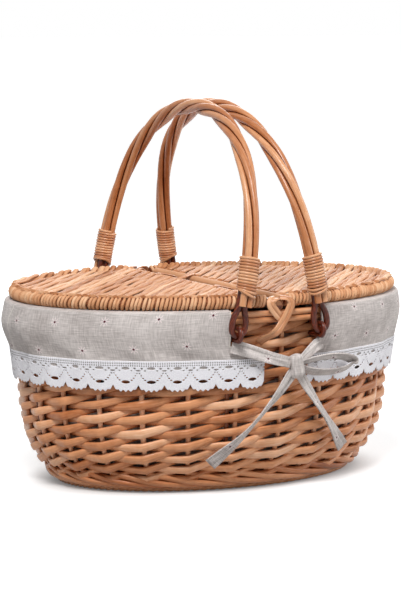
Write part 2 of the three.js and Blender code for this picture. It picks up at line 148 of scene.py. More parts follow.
def toneOf(w, row, draw=0):
    return chance(row, w.seed + draw, w.toneLow, w.toneHigh)


def fullOf(w, row, draw):
    return chance(row, w.seed + draw, w.thinnest, w.thickest)


# Colours are written as they look, and turned into the renderer's light values

def colour(*shades):
    shares = [c / 255 for c in shades]
    return (*(c / 12.92 if c <= 0.04045 else ((c + 0.055) / 1.055) ** 2.4 for c in shares), 1)


def newMaterial(name, rough, coat=0.0, coatRough=0.3, specular=0.5):
    material = bpy.data.materials.new(name)
    material.use_nodes = True
    shader = material.node_tree.nodes["Principled BSDF"]
    values = {"Roughness": rough, "Coat Weight": coat, "Coat Roughness": coatRough,
              "Specular IOR Level": specular}
    for key, value in values.items():
        shader.inputs[key].default_value = value
    return material, shader, Wire(material.node_tree)


def feed(shader, wire, name):
    wire.tree.links.new(wire.socket, shader.inputs[name])


def attribute(wire, name, out="Fac"):
    return wire.node("ShaderNodeAttribute", None, out, attribute_name=name)


# Each stop is a place and a colour as it looks
def ramp(value, stops):
    shaded = value.node("ShaderNodeValToRGB", {"Fac": value})
    elements = shaded.socket.node.color_ramp.elements
    while len(elements) < len(stops):
        elements.new(1)
    for element, (place, *shades) in zip(elements, stops):
        element.position = place
        element.color = colour(*shades)
    return shaded


def blendColours(share, first, second):
    return share.node("ShaderNodeMix", {6: first, 7: second, 0: share}, 2, data_type="RGBA")


def smoothStep(value, low, high):
    limits = {"Value": value, "From Min": low, "From Max": high}
    return value.node("ShaderNodeMapRange", limits, interpolation_type="SMOOTHSTEP")


def bump(shader, height, distance, strength):
    values = {"Height": height, "Distance": distance, "Strength": strength}
    feed(shader, height.node("ShaderNodeBump", values), "Normal")


# Willow and cane: each strand has its own tone, with streaks that run along it. Painted shade darkens the
# side that is turned to the strands beside it, where the grooves between them lie in shade

def willow(name, stops, rough, streaks=0.42, coat=0.16, grooveShade=0.0):
    material, shader, wire = newMaterial(name, rough, coat, 0.2, 0.28)
    tone = attribute(wire, "tone")
    along = attribute(wire, "along")
    ring = attribute(wire, "ring", "Vector")
    streak = noise(ring + combine(tone * 57, tone * 31, along * 18), 3.2, 3.0)
    fleck = noise(ring * 0.4 + combine(tone * 11, tone * 23, along * 90), 1.6, 1.0)
    shade = tone * 0.62 + 0.19 + (streak - 0.5) * streaks + (fleck - 0.5) * 0.22
    # Painted shade in the grooves between strands
    if grooveShade:
        inward = -parts(ring)[0]
        shade = shade - smoothStep(inward, -0.2, 0.5) * grooveShade
    feed(shader, ramp(shade, stops), "Base Color")
    feed(shader, streak * 0.22 + (rough - 0.1), "Roughness")
    bump(shader, streak + fleck * 0.4, 0.25 * mm, 0.7)
    return material


wallStops = [(0.0, 76, 28, 8), (0.25, 170, 99, 53), (0.6, 220, 155, 109), (1.0, 249, 209, 176)]
lidStops = [(0.0, 108, 52, 21), (0.3, 190, 129, 86), (0.65, 219, 167, 126), (1.0, 239, 201, 164)]
handleStops = [(0.0, 94, 41, 14), (0.35, 174, 108, 64), (0.7, 205, 146, 103), (1.0, 233, 189, 153)]
caneStops = [(0.0, 104, 50, 22), (0.35, 178, 114, 74), (0.7, 212, 156, 114), (1.0, 236, 194, 160)]
wallWillow = willow("wall_willow", wallStops, rough=0.42)
lidWillow = willow("lid_willow", lidStops, rough=0.6, streaks=0.38, coat=0.0)
handleWillow = willow("handle_willow", handleStops, rough=0.36, streaks=0.55, coat=0.26, grooveShade=0.75)
bandCane = willow("band_cane", caneStops, rough=0.34, streaks=0.55, coat=0.22)


def loopFinish():
    material, shader, wire = newMaterial("brown_loop", 0.34, 0.22, 0.1, 0.2)
    along = attribute(wire, "along")
    ring = attribute(wire, "ring", "Vector")
    streak = noise(ring + combine(along * 120, along * 90, along * 25), 2.2, 3.0)
    feed(shader, ramp(streak, [(0.25, 38, 9, 3), (0.55, 92, 33, 15), (0.85, 150, 70, 40)]), "Base Color")
    feed(shader, streak * 0.2 + 0.26, "Roughness")
    bump(shader, streak, 0.4 * mm, 0.8)
    return material


brownLoop = loopFinish()
print("willow, cane and loop finishes made")


# Linen: plain woven threads and a scattered daisy print, in millimetres of the cloth's own flat measure

linenPrint = Sizes(
    across=49.5, down=27.0, shiftAcross=0.773, shiftDown=-0.111, fall=0.055, level=110.0, petal=5.2,
    petalPale=0.62, heart=1.15,
)


def flatMeasure(wire):
    u, v, _ = parts(wire.node("ShaderNodeUVMap", uv_map="flat") * (1 / mm))
    return u, v


def crossing(u, v, pitch):
    return sine(u * (fullTurn / pitch)) * sine(v * (fullTurn / pitch))


def daisies(cloth, u, v):
    p = linenPrint
    below = (v + (absolute(u) - p.level) * p.fall) / p.down + p.shiftDown
    row = floor(below)
    across = u / p.across + (row.maths("PINGPONG", row, 1.0) * 0.5 + p.shiftAcross)
    du = (across - floor(across) - 0.5) * p.across
    dv = (below - row - 0.5) * p.down
    far = root(du * du + dv * dv)
    petals = absolute(cosine(dv.maths("ARCTAN2", dv, du) * 4))
    edge = far / p.petal - petals ** 2.5 * 0.85 - 0.15
    petal = (1 - smoothStep(edge, -0.2, 0.04)) * p.petalPale
    heart = 1 - smoothStep(far, p.heart * 0.75, p.heart * 1.15)
    cloth = blendColours(petal, cloth, colour(245, 230, 229))
    return blendColours(heart, cloth, colour(86, 26, 40))


def linen(name, dark, pale, isPrinted):
    material, shader, wire = newMaterial(name, 0.88, specular=0.25)
    shader.inputs["Sheen Weight"].default_value = 0.12
    u, v = flatMeasure(wire)
    slubAcross = noise(combine(u * 0.09, v * 0.95, 0.0), 1.0, 3.0)
    slubDown = noise(combine(u * 0.95, v * 0.09, 4.0), 1.0, 3.0)
    cloud = noise(combine(u, v, 9.0), 0.03, 2.0)
    shade = (slubAcross + slubDown) * 0.5 + (cloud - 0.5) * 0.4
    cloth = ramp(shade, [(0.36, *dark), (0.64, *pale)])
    if isPrinted:
        cloth = daisies(cloth, u, v)
    feed(shader, cloth, "Base Color")
    thread = crossing(u, v, 0.62)
    bump(shader, thread * 0.3 + slubAcross + slubDown, 0.22 * mm, 0.6)
    return material


printedLinen = linen("printed_linen", (171, 162, 158), (217, 209, 205), True)
plainLinen = linen("plain_linen", (171, 162, 158), (217, 209, 205), False)
hemLinen = linen("hem_linen", (206, 198, 190), (236, 230, 223), False)


def laceFinish():
    material, shader, wire = newMaterial("cotton_lace", 0.9, specular=0.2)
    u, v = flatMeasure(wire)
    stitch = crossing(u + v, u - v, 2.1)
    netBand = smoothStep(v, 0.2, 0.5) * (1 - smoothStep(v, 5.2, 5.7))
    # The net band's pinholes are painted, not cut: a real pattern, whose dark grey is painted shade for the
    # cloth seen through them
    pinholeShade = smoothStep(crossing(u + v, u - v, 4.2), 0.1, 0.45) * netBand
    fuzz = noise(combine(u, v, 2.0), 1.1, 3.0)
    cotton = ramp(fuzz, [(0.25, 232, 230, 236), (0.7, 252, 251, 254)])
    feed(shader, blendColours(pinholeShade * 0.9, cotton, colour(122, 115, 115)), "Base Color")
    bump(shader, stitch * -0.5 + fuzz, 0.3 * mm, 0.8)
    return material


cottonLace = laceFinish()
print("cloth finishes made")


# Making pieces: a tree with named sizes grows a mesh, which is then kept as a plain mesh

def sizedTree(name, sizes, isSwept=False):
    tree = bpy.data.node_groups.new(name, "GeometryNodeTree")
    tree.interface.new_socket("Geometry", in_out="OUTPUT", socket_type="NodeSocketGeometry")
    if isSwept:
        tree.interface.new_socket("Path", in_out="INPUT", socket_type="NodeSocketGeometry")
    kinds = {int: "NodeSocketInt", float: "NodeSocketFloat", bpy.types.Material: "NodeSocketMaterial"}
    for key, value in sizes.items():
        tree.interface.new_socket(key, in_out="INPUT", socket_type=kinds[type(value)])
    given = tree.nodes.new("NodeGroupInput")
    return Sizes((socket.name, Wire(tree, socket)) for socket in given.outputs if socket.name)


def storeOn(geometry, name, value, kind="FLOAT"):
    given = {"Name": name, "Value": value}
    return geometry.then("StoreNamedAttribute", given, data_type=kind, domain="POINT")


def named(wire, name, kind="FLOAT"):
    return wire.node("GeometryNodeInputNamedAttribute", {"Name": name}, data_type=kind)


# The piece's own ring: a flat below 1 squares it off towards a strip
def profileRing(w, flat):
    ring = w.thick.node("GeometryNodeCurvePrimitiveCircle", {"Resolution": w.sides, "Radius": 1.0})
    place = ring.node("GeometryNodeInputPosition")
    ring = storeOn(ring, "ring", place, "FLOAT_VECTOR")
    if flat < 1:
        squared = place.maths("SIGN", place) * absolute(place) ** flat
        ring = ring.then("SetPosition", {"Position": squared})
    wide = w.get("wide", w.thick)
    return ring.then("Transform", {"Scale": combine(w.thick * 0.5, wide * 0.5, 1.0)})


# Sweeps the ring along lines and ends the tree
def sweepLines(w, lines, facing, size=1.0, isRing=False, flat=1.0):
    if isRing:
        lines = lines.then("SetSplineCyclic", {"Cyclic": True})
    lines = lines.then("SetCurveNormal", {"Normal": facing}, mode="FREE")
    swept = {"Profile Curve": profileRing(w, flat), "Scale": size, "Fill Caps": True}
    mesh = lines.then("CurveToMesh", swept).then("SetShadeSmooth").then("RealizeInstances")
    mesh = mesh.then("SetMaterial", {"Material": w.finish})
    finish = mesh.tree.nodes.new("NodeGroupOutput")
    mesh.tree.links.new(mesh.socket, finish.inputs["Geometry"])


# Every point's strand, and its step along that strand
def strandNumbers(points):
    index = points.node("GeometryNodeInputIndex")
    strand = floor((index + 0.5) / points)
    return strand, index - strand * points


# A piece with a side is turned half round for the right. Dropping points changes their numbers, so the size
# and strand are stored before it
def sweepStrands(w, strand, place, facing, tone, along, size=1.0, isRing=False, flat=1.0, drop=None):
    if "side" in w:
        half = combine(w.side, w.side, 1.0)
        place, facing = place * half, facing * half
    points = strand.node("GeometryNodePoints", {"Count": w.strands * w.points, "Position": place})
    values = {"tone": tone, "along": along}
    if drop:
        values.update(size=size, strand=strand)
    for key, value in values.items():
        points = storeOn(points, key, value)
    if drop:
        points = points.then("DeleteGeometry", {"Selection": drop})
        strand, size = named(points, "strand"), named(points, "size")
    sweepLines(w, points.then("PointsToCurves", {"Curve Group ID": strand}), facing, size, isRing, flat)


def upwards(wire):
    return wire.node("ShaderNodeCombineXYZ", {"Z": 1.0})


# One line through points that are set from their share of the way along it
def lineThrough(steps, place):
    return place.node("GeometryNodePoints", {"Count": steps, "Position": place}).then("PointsToCurves")


def shareOf(wire, steps):
    return wire.node("GeometryNodeInputIndex") / (steps - 1)


def spotOn(line, mode, at):
    return line.then("SampleCurve", {mode.title(): at}, "Position", mode=mode)


def linkObject(name, data):
    obj = bpy.data.objects.new(name, data)
    bpy.context.scene.collection.objects.link(obj)
    return obj


def faceOutwards(mesh):
    work = bmesh.new()
    work.from_mesh(mesh)
    if work.calc_volume(signed=True) < 0:
        bmesh.ops.reverse_faces(work, faces=work.faces)
    work.to_mesh(mesh)
    work.free()


def addPiece(obj, body, nodes=()):
    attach(obj, body)
    if nodes:
        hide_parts(*nodes)
    return obj


def growMesh(name, tree, sizes, base=None):
    obj = linkObject(name, base or bpy.data.meshes.new(name))
    modifier = obj.modifiers.new("grow", "NODES")
    modifier.node_group = tree
    for item in tree.interface.items_tree:
        if item.in_out == "INPUT" and item.name in sizes:
            modifier[item.identifier] = sizes[item.name]
    graph = bpy.context.evaluated_depsgraph_get()
    grown = obj.evaluated_get(graph)
    mesh = bpy.data.meshes.new_from_object(grown, preserve_all_data_layers=True, depsgraph=graph)
    obj.modifiers.clear()
    obj.data = mesh
    faceOutwards(mesh)
    print("  ", name, len(mesh.polygons), "faces")
    return obj


def weave(name, shape, sizes, nodes=(), body="basket"):
    w = sizedTree(name, sizes)
    shape(w, *strandNumbers(w.points))
    addPiece(growMesh(name, w.finish.tree, sizes), body, nodes)


# The oval and the wall: inset is the distance in from the closed lids' outline

oval = Sizes(halfLength=199 * mm, halfWidth=145.5 * mm)
wallShape = Sizes(
    rimTop=174.6 * mm, rimInset=5.5 * mm, taper=3.5 * mm, footTuck=41 * mm, tuckPower=6,
    weaveLow=4.4 * mm, weaveHigh=172 * mm,
)


def wallInset(z):
    down = 1 - z / wallShape.rimTop
    tuck = wallShape.footTuck * down ** wallShape.tuckPower
    return wallShape.rimInset + wallShape.taper * down + tuck


def wallSlope(z):
    down = 1 - z / wallShape.rimTop
    power = wallShape.tuckPower
    return (wallShape.taper + power * wallShape.footTuck * down ** (power - 1)) / wallShape.rimTop


def ovalPoint(inset, angle):
    return (oval.halfLength - inset) * cosine(angle), (oval.halfWidth - inset) * sine(angle)


def ovalSpot(inset, angle, z):
    return combine(*ovalPoint(inset, angle), z)


# The level way out of the oval
def outwards(angle):
    out = combine(cosine(angle) / oval.halfLength, sine(angle) / oval.halfWidth, 0.0)
    return out.maths("NORMALIZE", out)


# A point at some depth behind the wall's outer face, and the way out of the wall there
def wallPoint(angle, z, depth):
    normal = outwards(angle) - upwards(z) * wallSlope(z)
    normal = normal.maths("NORMALIZE", normal)
    return ovalSpot(wallInset(z), angle, z) - normal * depth, normal


# Height on the wall at a length up its curved face from the foot
def heightAt(length):
    steps = 90
    z = mix(wallShape.weaveLow, wallShape.weaveHigh, shareOf(length, steps))
    line = lineThrough(steps, combine(wallInset(z), 0.0, z))
    return parts(spotOn(line, "LENGTH", length))[2]


# Wall: every strand climbs one row at each stake, in front of one stake and behind the next

wall = Sizes(
    strands=25, points=246, steps=10, firstStake=3.264, rise=6.9 * mm, low=5.6 * mm, lag=0.8 * mm,
    wide=8.0 * mm, thick=4.5 * mm, swing=4.3 * mm, sharp=0.85, stain=1.3, stainFrom=0.42, toneLow=0.16,
    toneHigh=0.92, climbSway=2.0 * mm, depthSway=0.8 * mm, full=0.93, swell=0.17, fullSway=0.2,
    thinnest=0.9, thickest=1.06, flat=0.68, stakeGap=42 * mm, sides=10, seed=4, finish=wallWillow,
)


def weaveWall(w, strand, step):
    u = step / w.steps
    angle = (strand + u) / w.strands * fullTurn + w.firstStake
    piece = floor(u * 0.5)
    front = mix(-cosine(u * math.pi), u.maths("PINGPONG", u, 1.0) * 2 - 1, w.sharp)
    # Painted shade: where a strand lies deep behind the stakes its tone is lowered, standing in for the shade
    # that falls there
    behind = atLeast(-front - w.stainFrom, 0.0)
    tone = toneOf(w, strand + piece * 31) - w.stain * behind
    z = heightAt(w.low + w.rise * u - w.lag * front + wobble(u * 0.8, strand) * w.climbSway)
    depth = w.swing + w.thick * 0.5 - w.swing * front + wobble(u, strand + 40) * w.depthSway
    place, normal = wallPoint(angle, z, depth)
    full = w.full + w.swell * front + wobble(u * 0.7, strand + 90) * w.fullSway
    size = full * fullOf(w, strand + piece * 17, 5)
    sweepStrands(w, strand, place, normal, tone, u * w.stakeGap, size, flat=wall.flat)


print("weaving the wall")
weave("wall_weave", weaveWall, wall, ["side_weave"])

stakes = Sizes(
    strands=25, around=25, points=14, firstStake=wall.firstStake, thick=5.0 * mm, low=6 * mm,
    high=172 * mm, depth=wall.swing + wall.thick / 2, beside=0.0, every=1, paleLow=0.75,
    paleHigh=1.1, leanBy=0.008, leanSway=0.01, thinnest=0.9, thickest=1.08, fullSway=0.2, sides=8,
    seed=11, finish=wallWillow,
)
# By-stakes: their dark tones are painted shade, for stakes set deeper in the wall
byStakes = Sizes(stakes, strands=5, every=5, beside=-0.16, thick=4.6 * mm, depth=stakes.depth + 1.4 * mm,
                 paleLow=-0.25, paleHigh=0.1, seed=17)


def setStakes(w, stake, step):
    share = step / (w.points - 1)
    z = mix(w.low, w.high, share)
    lean = chance(stake, w.seed, -w.leanBy, w.leanBy) + wobble(share * 3, stake) * w.leanSway
    angle = (stake * w.every + w.beside) / w.around * fullTurn + w.firstStake + lean
    place, normal = wallPoint(angle, z, w.depth)
    tone = chance(stake, w.seed + 1, w.paleLow, w.paleHigh)
    size = fullOf(w, stake, 2) + wobble(share * 4, stake + 20) * w.fullSway
    sweepStrands(w, stake, place, normal, tone, z, size)


weave("wall_stakes", setStakes, stakes)
weave("wall_bystakes", setStakes, byStakes)

# Foot of the wall: each stake's end is laid down across the next two, against the climb of the strands
# Its low tones are painted shade, darkening the foot of the wall near the floor
footLay = Sizes(
    strands=25, points=15, firstStake=wall.firstStake, reach=2.6, start=16 * mm, end=0.6 * mm,
    wide=7.0 * mm, thick=4.6 * mm, depth=3.0 * mm, swing=3.2 * mm, toneLow=-0.2, toneHigh=0.7, sides=9,
    seed=61, finish=wallWillow,
)


def layFoot(w, strand, step):
    share = step / (w.points - 1)
    angle = (strand + share * w.reach) / w.strands * fullTurn + w.firstStake
    z = heightAt(mix(w.start, w.end, share))
    depth = w.depth - w.swing * (sine(share * (0.8 * math.pi)) * 2 - 1)
    sweepStrands(w, strand, *wallPoint(angle, z, depth), toneOf(w, strand), share * 0.1)


weave("foot_lay", layFoot, footLay)

# Rods behind the foot of the wall, which close it towards the base
# Their dark tones are painted shade, for rods that lie deep behind the foot of the wall
footRods = Sizes(
    strands=3, points=120, low=1.5 * mm, pitch=5.6 * mm, depth=8.5 * mm, wide=6.6 * mm, thick=4.2 * mm,
    toneLow=-0.2, toneHigh=0.1, sides=8, seed=7, finish=wallWillow,
)


def bendFootRods(w, rod, step):
    share = step / w.points
    place, normal = wallPoint(share * fullTurn, heightAt(w.low + rod * w.pitch), w.depth)
    sweepStrands(w, rod, place, normal, toneOf(w, rod), share, isRing=True)


weave("foot_rods", bendFootRods, footRods)

# Foot: a thick rope of rods round the base, which the basket stands on
foot = Sizes(
    strands=3, turns=36, points=288, inset=48.5 * mm, thick=4.3 * mm, spread=1.85 * mm, toneLow=0.2,
    toneHigh=0.7, sides=7, seed=3, finish=wallWillow,
)


def twistFoot(w, rod, step):
    share = step / w.points
    angle = share * fullTurn
    twist = share * w.turns * fullTurn + rod * fullTurn / w.strands
    height = w.spread + w.thick * 0.5 + sine(twist) * w.spread
    out = outwards(angle)
    place = ovalSpot(w.inset, angle, height) + out * (cosine(twist) * w.spread)
    sweepStrands(w, rod, place, out, toneOf(w, rod), share, isRing=True)


weave("foot_rope", twistFoot, foot, ["foot_border"])

# Base: oval rounds woven over and under spokes
base = Sizes(
    strands=18, points=180, spokes=30, inset=42.5 * mm, pitch=5.6 * mm, wide=5.5 * mm, thick=2.7 * mm,
    swing=1.25 * mm, height=12 * mm, sides=8, seed=8, finish=wallWillow,
)
spokes = Sizes(
    strands=30, points=6, outer=46.5 * mm, inner=143 * mm, height=12 * mm, thick=3 * mm, sides=6, seed=5,
    finish=wallWillow,
)


def weaveBase(w, ring, step):
    share = step / w.points
    height = w.height + w.swing * cosine((share * w.spokes + ring) * math.pi)
    place = ovalSpot(w.inset + ring * w.pitch, share * fullTurn, height)
    sweepStrands(w, ring, place, upwards(ring), chance(ring, w.seed), share, isRing=True)


def laySpokes(w, spoke, step):
    share = step / (w.points - 1)
    place = ovalSpot(mix(w.outer, w.inner, share), (spoke + 0.5) / w.strands * fullTurn, w.height)
    sweepStrands(w, spoke, place, upwards(spoke), chance(spoke, w.seed), share * 0.1)


weave("base_rounds", weaveBase, base, ["base_weave"])
weave("base_spokes", laySpokes, spokes)

# Border: rods laid round the rim, one over the other, and one inside them on the wall's top
border = Sizes(
    strands=3, points=110, inset=2.35 * mm, inner=5.3 * mm, high=171.85 * mm, drop=5.8 * mm, ripples=7,
    rippleOut=0.2 * mm, rippleUp=0.15 * mm, upperTone=0.75, lowerTone=0.5, thick=5.5 * mm, sides=10,
    finish=wallWillow,
)


def layBorder(w, rod, step):
    share = step / w.points
    angle = share * fullTurn
    ripple = sine(angle * w.ripples + rod * 2)
    isInner = atLeast(rod - 1, 0.0)
    inset = w.inset + isInner * w.inner + ripple * w.rippleOut
    place = ovalSpot(inset, angle, w.high - (rod - isInner * 2) * w.drop + ripple * w.rippleUp)
    sweepStrands(w, rod, place, outwards(angle), mix(w.upperTone, w.lowerTone, rod), share, isRing=True)


weave("rim_border", layBorder, border, ["border_rod_upper", "border_rod_lower"])
print("body woven")


# Lids: strands laid aslant over sticks, wound round a bent edge rod

lid = Sizes(
    strands=140, points=90, reach=310 * mm, slant=math.radians(50), pitch=2.5 * mm, wide=5.9 * mm,
    thick=2.8 * mm, swing=0.5 * mm, stickGap=40 * mm, firstStick=28 * mm, height=186.5 * mm,
    edgeInset=5.5 * mm, edgeMiddle=6.5 * mm, edgeZ=183 * mm, edgeRound=7.0 * mm, hingeX=15 * mm,
    middleX=100 * mm, underDrop=2.4 * mm, underTone=0.75, slowBend=7 * mm, fastBend=1.5 * mm,
    liftSway=1.5 * mm, sharp=1.7, full=0.97, swell=0.03, fullSway=0.3, thinnest=0.6, thickest=1.3,
    sides=7, seed=21, finish=lidWillow,
)
lidSticks = Sizes(
    strands=4, points=40, thick=3.4 * mm, gap=lid.stickGap, first=lid.firstStick,
    height=lid.height - 4.4 * mm, edgeInset=9 * mm, sides=7, seed=2, finish=lidWillow,
)


def weaveLid(w, strand, step):
    run = (step / (w.points - 1) - 0.5) * w.reach
    isUnder = strand.maths("PINGPONG", strand, 1.0)
    bend = wobble(run * 14, strand * 0.05) * w.slowBend + wobble(run * 45, strand) * w.fastBend
    aside = (strand - (w.strands - 1) * 0.5) * w.pitch + bend
    x = run * cosine(w.slant) - aside * sine(w.slant) - w.middleX
    y = run * sine(w.slant) + aside * cosine(w.slant)
    across = (x + w.firstStick) / w.stickGap
    over = between(cosine((across + strand * 0.5) * math.pi) * w.sharp, -1.0, 1.0)
    z = w.height + w.swing * over + wobble(run * 30, strand + 50) * w.liftSway - isUnder * w.underDrop
    sizeX = x / oval.halfLength
    sizeY = y / oval.halfWidth
    inset = (1 / root(sizeX * sizeX + sizeY * sizeY) - 1) * root(x * x + y * y)
    fromEdge = w.edgeMiddle - inset
    overEdge = root(atLeast(w.edgeRound * w.edgeRound - fromEdge * fromEdge, 0.0)) + w.edgeZ
    z = atLeast(z, overEdge - isUnder * w.underDrop)
    size = w.full + w.swell * over + wobble(run * 40, strand + 70) * w.fullSway
    isOutside = inset.maths("LESS_THAN", inset, w.edgeInset)
    isPastHinge = x.maths("GREATER_THAN", x, -w.hingeX)
    # Painted shade: the lower layer's strands are darkened, standing in for the shade in the gaps between the
    # upper ones
    tone = chance(strand, w.seed) - isUnder * w.underTone
    isDropped = atLeast(isOutside, isPastHinge)
    size = between(size, w.thinnest, w.thickest)
    sweepStrands(w, strand, combine(x, y, z), upwards(strand), tone, run, size, drop=isDropped)


def layLidSticks(w, stick, step):
    x = -(w.first + stick * w.gap)
    level = x / (oval.halfLength - w.edgeInset)
    half = root(1 - level * level) * (oval.halfWidth - w.edgeInset)
    y = (step / (w.points - 1) * 2 - 1) * half
    sweepStrands(w, stick, combine(x, y, w.height), upwards(stick), chance(stick, w.seed), y)


# Edge: a bent core rod and a strand wound round it, turn beside turn
lidEdge = Sizes(
    strands=130, points=12, inset=6.5 * mm, endX=9.5 * mm, around=4.6 * mm, wide=3.15 * mm,
    thick=3.2 * mm, lean=1.2 * mm, leanBy=0.5 * mm, stray=0.12, thinnest=0.9, thickest=1.06,
    nearest=0.97, farthest=1.02, toneLow=0.3, toneHigh=1.0, flat=0.92, height=183 * mm, sides=8, seed=31,
    finish=lidWillow,
)
edgeCore = Sizes(
    strands=1, points=90, inset=lidEdge.inset, endX=8.5 * mm, thick=7.4 * mm,
    height=lidEdge.height, tone=-0.2, sides=10, finish=lidWillow,
)


def edgeAngles(w):
    level = -w.endX / (oval.halfLength - w.inset)
    end = level.maths("ARCCOSINE", level)
    return end, fullTurn - end


# The oval's angle at a share of its length between two angles
def ovalByLength(inset, start, end, share):
    steps = 160
    angle = mix(start, end, shareOf(share, steps))
    line = lineThrough(steps, ovalSpot(inset, angle, 0.0))
    x, y, _ = parts(spotOn(line, "FACTOR", share))
    across = y / (oval.halfWidth - inset)
    return across.maths("ARCTAN2", across, x / (oval.halfLength - inset))


def windLidEdge(w, wrap, step):
    share = (wrap + 0.5 + chance(wrap, w.seed, -w.stray, w.stray)) / w.strands
    angle = ovalByLength(w.inset, *edgeAngles(w), share)
    turn = step / w.points * fullTurn
    size = fullOf(w, wrap, 1)
    reach = w.around * chance(wrap, w.seed + 3, w.nearest, w.farthest)
    lean = w.lean * sine(turn) + chance(wrap, w.seed + 2, -w.leanBy, w.leanBy) * cosine(turn)
    out, up = outwards(angle), upwards(wrap)
    facing = out * cosine(turn) + up * sine(turn)
    place = ovalSpot(w.inset, angle, w.height) + facing * reach + up.maths("CROSS_PRODUCT", up, out) * lean
    tone = toneOf(w, wrap, 4)
    sweepStrands(w, wrap, place, facing, tone, turn * reach, size, isRing=True, flat=lidEdge.flat)


def bendLidCore(w, strand, step):
    angle = mix(*edgeAngles(w), step / (w.points - 1))
    sweepStrands(w, strand, ovalSpot(w.inset, angle, w.height), outwards(angle), w.tone, angle * 0.15)


hingeRod = Sizes(
    strands=1, points=30, x=12.5 * mm, height=183 * mm, thick=9 * mm, half=130.5 * mm, tone=0.6,
    swayX=0.5 * mm, swayZ=0.4 * mm, endSize=0.86, size=0.98, sides=12, finish=lidWillow,
)
bar = Sizes(hingeRod, x=0.0, height=179.9 * mm, thick=9.4 * mm, half=147.4 * mm, finish=handleWillow)


def straightRod(w, strand, step):
    share = step / (w.points - 1)
    x = w.x + wobble(share * 4, w.x) * w.swayX
    y = mix(-w.half, w.half, share)
    end = atMost(atMost(share * 60, (1 - share) * 60), 1.0)
    place = combine(x, y, w.height + wobble(share * 5, w.half) * w.swayZ)
    sweepStrands(w, strand, place, upwards(strand), w.tone, y, mix(w.endSize, w.size, end))


lidParts = [("weave", weaveLid, lid, "weave"), ("sticks", layLidSticks, lidSticks, None),
            ("wraps", windLidEdge, lidEdge, "edge"), ("core", bendLidCore, edgeCore, None)]
for side, name in ((1.0, "left"), (-1.0, "right")):
    body = name + "_lid"
    for part, shape, sizes, node in lidParts:
        nodes = [f"lid_{name}_{node}"] if node else []
        weave(f"{body}_{part}", shape, dict(sizes, side=side), nodes, body)
    given = dict(hingeRod, x=-side * hingeRod.x)
    weave(body + "_hinge", straightRod, given, [f"lid_{name}_hinge_rod"], body)
weave("centre_rod", straightRod, bar, ["centre_bar"])
print("lids woven")


# Handles: four rods twisted round one another along a leaning arch

handle = Sizes(
    footX=43.8 * mm, footY=154.5 * mm, pivotZ=160.7 * mm, lean=math.atan2(34, 197.3), leg=19.6 * mm,
    arch=180.6 * mm, powerY=2 / 2.11, powerZ=2 / 2.42,
)
rods = Sizes(
    strands=4, points=120, lift=1.4 * mm, tuck=40.6 * mm, thick=6.5 * mm, spread=4.45 * mm, turns=2.0,
    toneLow=0.2, toneHigh=0.9, thinnest=0.97, thickest=1.07, fullSway=0.16, sides=11, seed=41,
    finish=handleWillow,
)
binding = Sizes(
    strands=2, points=234, turns=13, low=30.7 * mm, high=66.2 * mm, around=8.6 * mm, wide=2.75 * mm,
    thick=2.3 * mm, slant=4.5 * mm, slantTurns=2.2, toneLow=0.25, toneHigh=0.95, sway=0.36 * mm,
    fullSway=0.2, sides=8, seed=51, finish=bandCane,
)


def archLine(w):
    steps = 161
    turn = shareOf(w.side, steps) * math.pi
    across = -cosine(turn)
    y = across.maths("SIGN", across) * absolute(across) ** w.powerY * w.footY
    h = atLeast(sine(turn), 0.0) ** w.powerZ * w.arch + w.leg
    line = lineThrough(steps, combine(h * sine(w.lean) - w.footX, y, h * cosine(w.lean) + w.pivotZ))
    return line, line.then("CurveLength")


# Where a turn of the given angle and radius round the arch lies, at a length along it
def roundArch(w, line, length, turn, radius):
    spot = spotOn(line, "LENGTH", length)
    normal = combine(cosine(w.lean), 0.0, -sine(w.lean))
    inward = spot.maths("CROSS_PRODUCT", spot.also("Tangent"), normal)
    facing = inward * cosine(turn) + normal * sine(turn)
    return spot + facing * radius, facing


def twistHandle(w, rod, step):
    line, whole = archLine(w)
    start = (rod + 0.5) * fullTurn / w.strands
    trim = mix(w.lift, w.tuck, start.maths("GREATER_THAN", cosine(start), 0.0))
    length = mix(trim, whole - trim, step / (w.points - 1))
    share = length / whole * fullTurn
    turn = (share - sine(share)) * w.turns + start
    place, facing = roundArch(w, line, length, turn, w.spread)
    tone = toneOf(w, rod)
    size = fullOf(w, rod, 1) + wobble(length * 25, rod + w.side * 3) * w.fullSway
    sweepStrands(w, rod, place, facing, tone, length, size)


def bindHandle(w, winding, step):
    line, whole = archLine(w)
    share = step / (w.points - 1)
    turn = share * w.turns * fullTurn
    slant = atLeast(1 - share * w.turns / w.slantTurns, 0.0) * w.slant
    length = mix(w.low, w.high, share) - w.leg + slant * (cosine(turn + 0.8) + 0.6)
    length = mix(whole - length, length, 1 - winding)
    sway = wobble(share * w.turns * 3, winding + w.side * 5) * w.sway
    place, facing = roundArch(w, line, length, turn, w.around + sway)
    tone = toneOf(w, floor(turn * 0.16))
    size = 1 + wobble(share * w.turns * 2, winding + 30) * w.fullSway
    sweepStrands(w, winding, place, facing, tone, turn * w.around, size)


for side, name in ((1.0, "left"), (-1.0, "right")):
    body = name + "_handle"
    nodes = [f"handle_{name}_rod_{i}" for i in (1, 2, 3)]
    weave(body + "_rods", twistHandle, dict(rods, side=side, **handle), nodes, body)
    nodes = [f"handle_{name}_binding_{end}" for end in ("near", "far")]
    weave(body + "_binding", bindHandle, dict(binding, side=side, **handle), nodes, body)
print("handles bound")


# Given paths: strands and bands swept along points

def unit(rows):
    return rows / np.linalg.norm(rows, axis=1)[:, None]


def tangents(points):
    return unit(np.gradient(points, axis=0))


def lengthsAlong(points):
    return np.concatenate([[0], np.cumsum(np.linalg.norm(np.diff(points, axis=0), axis=1))])


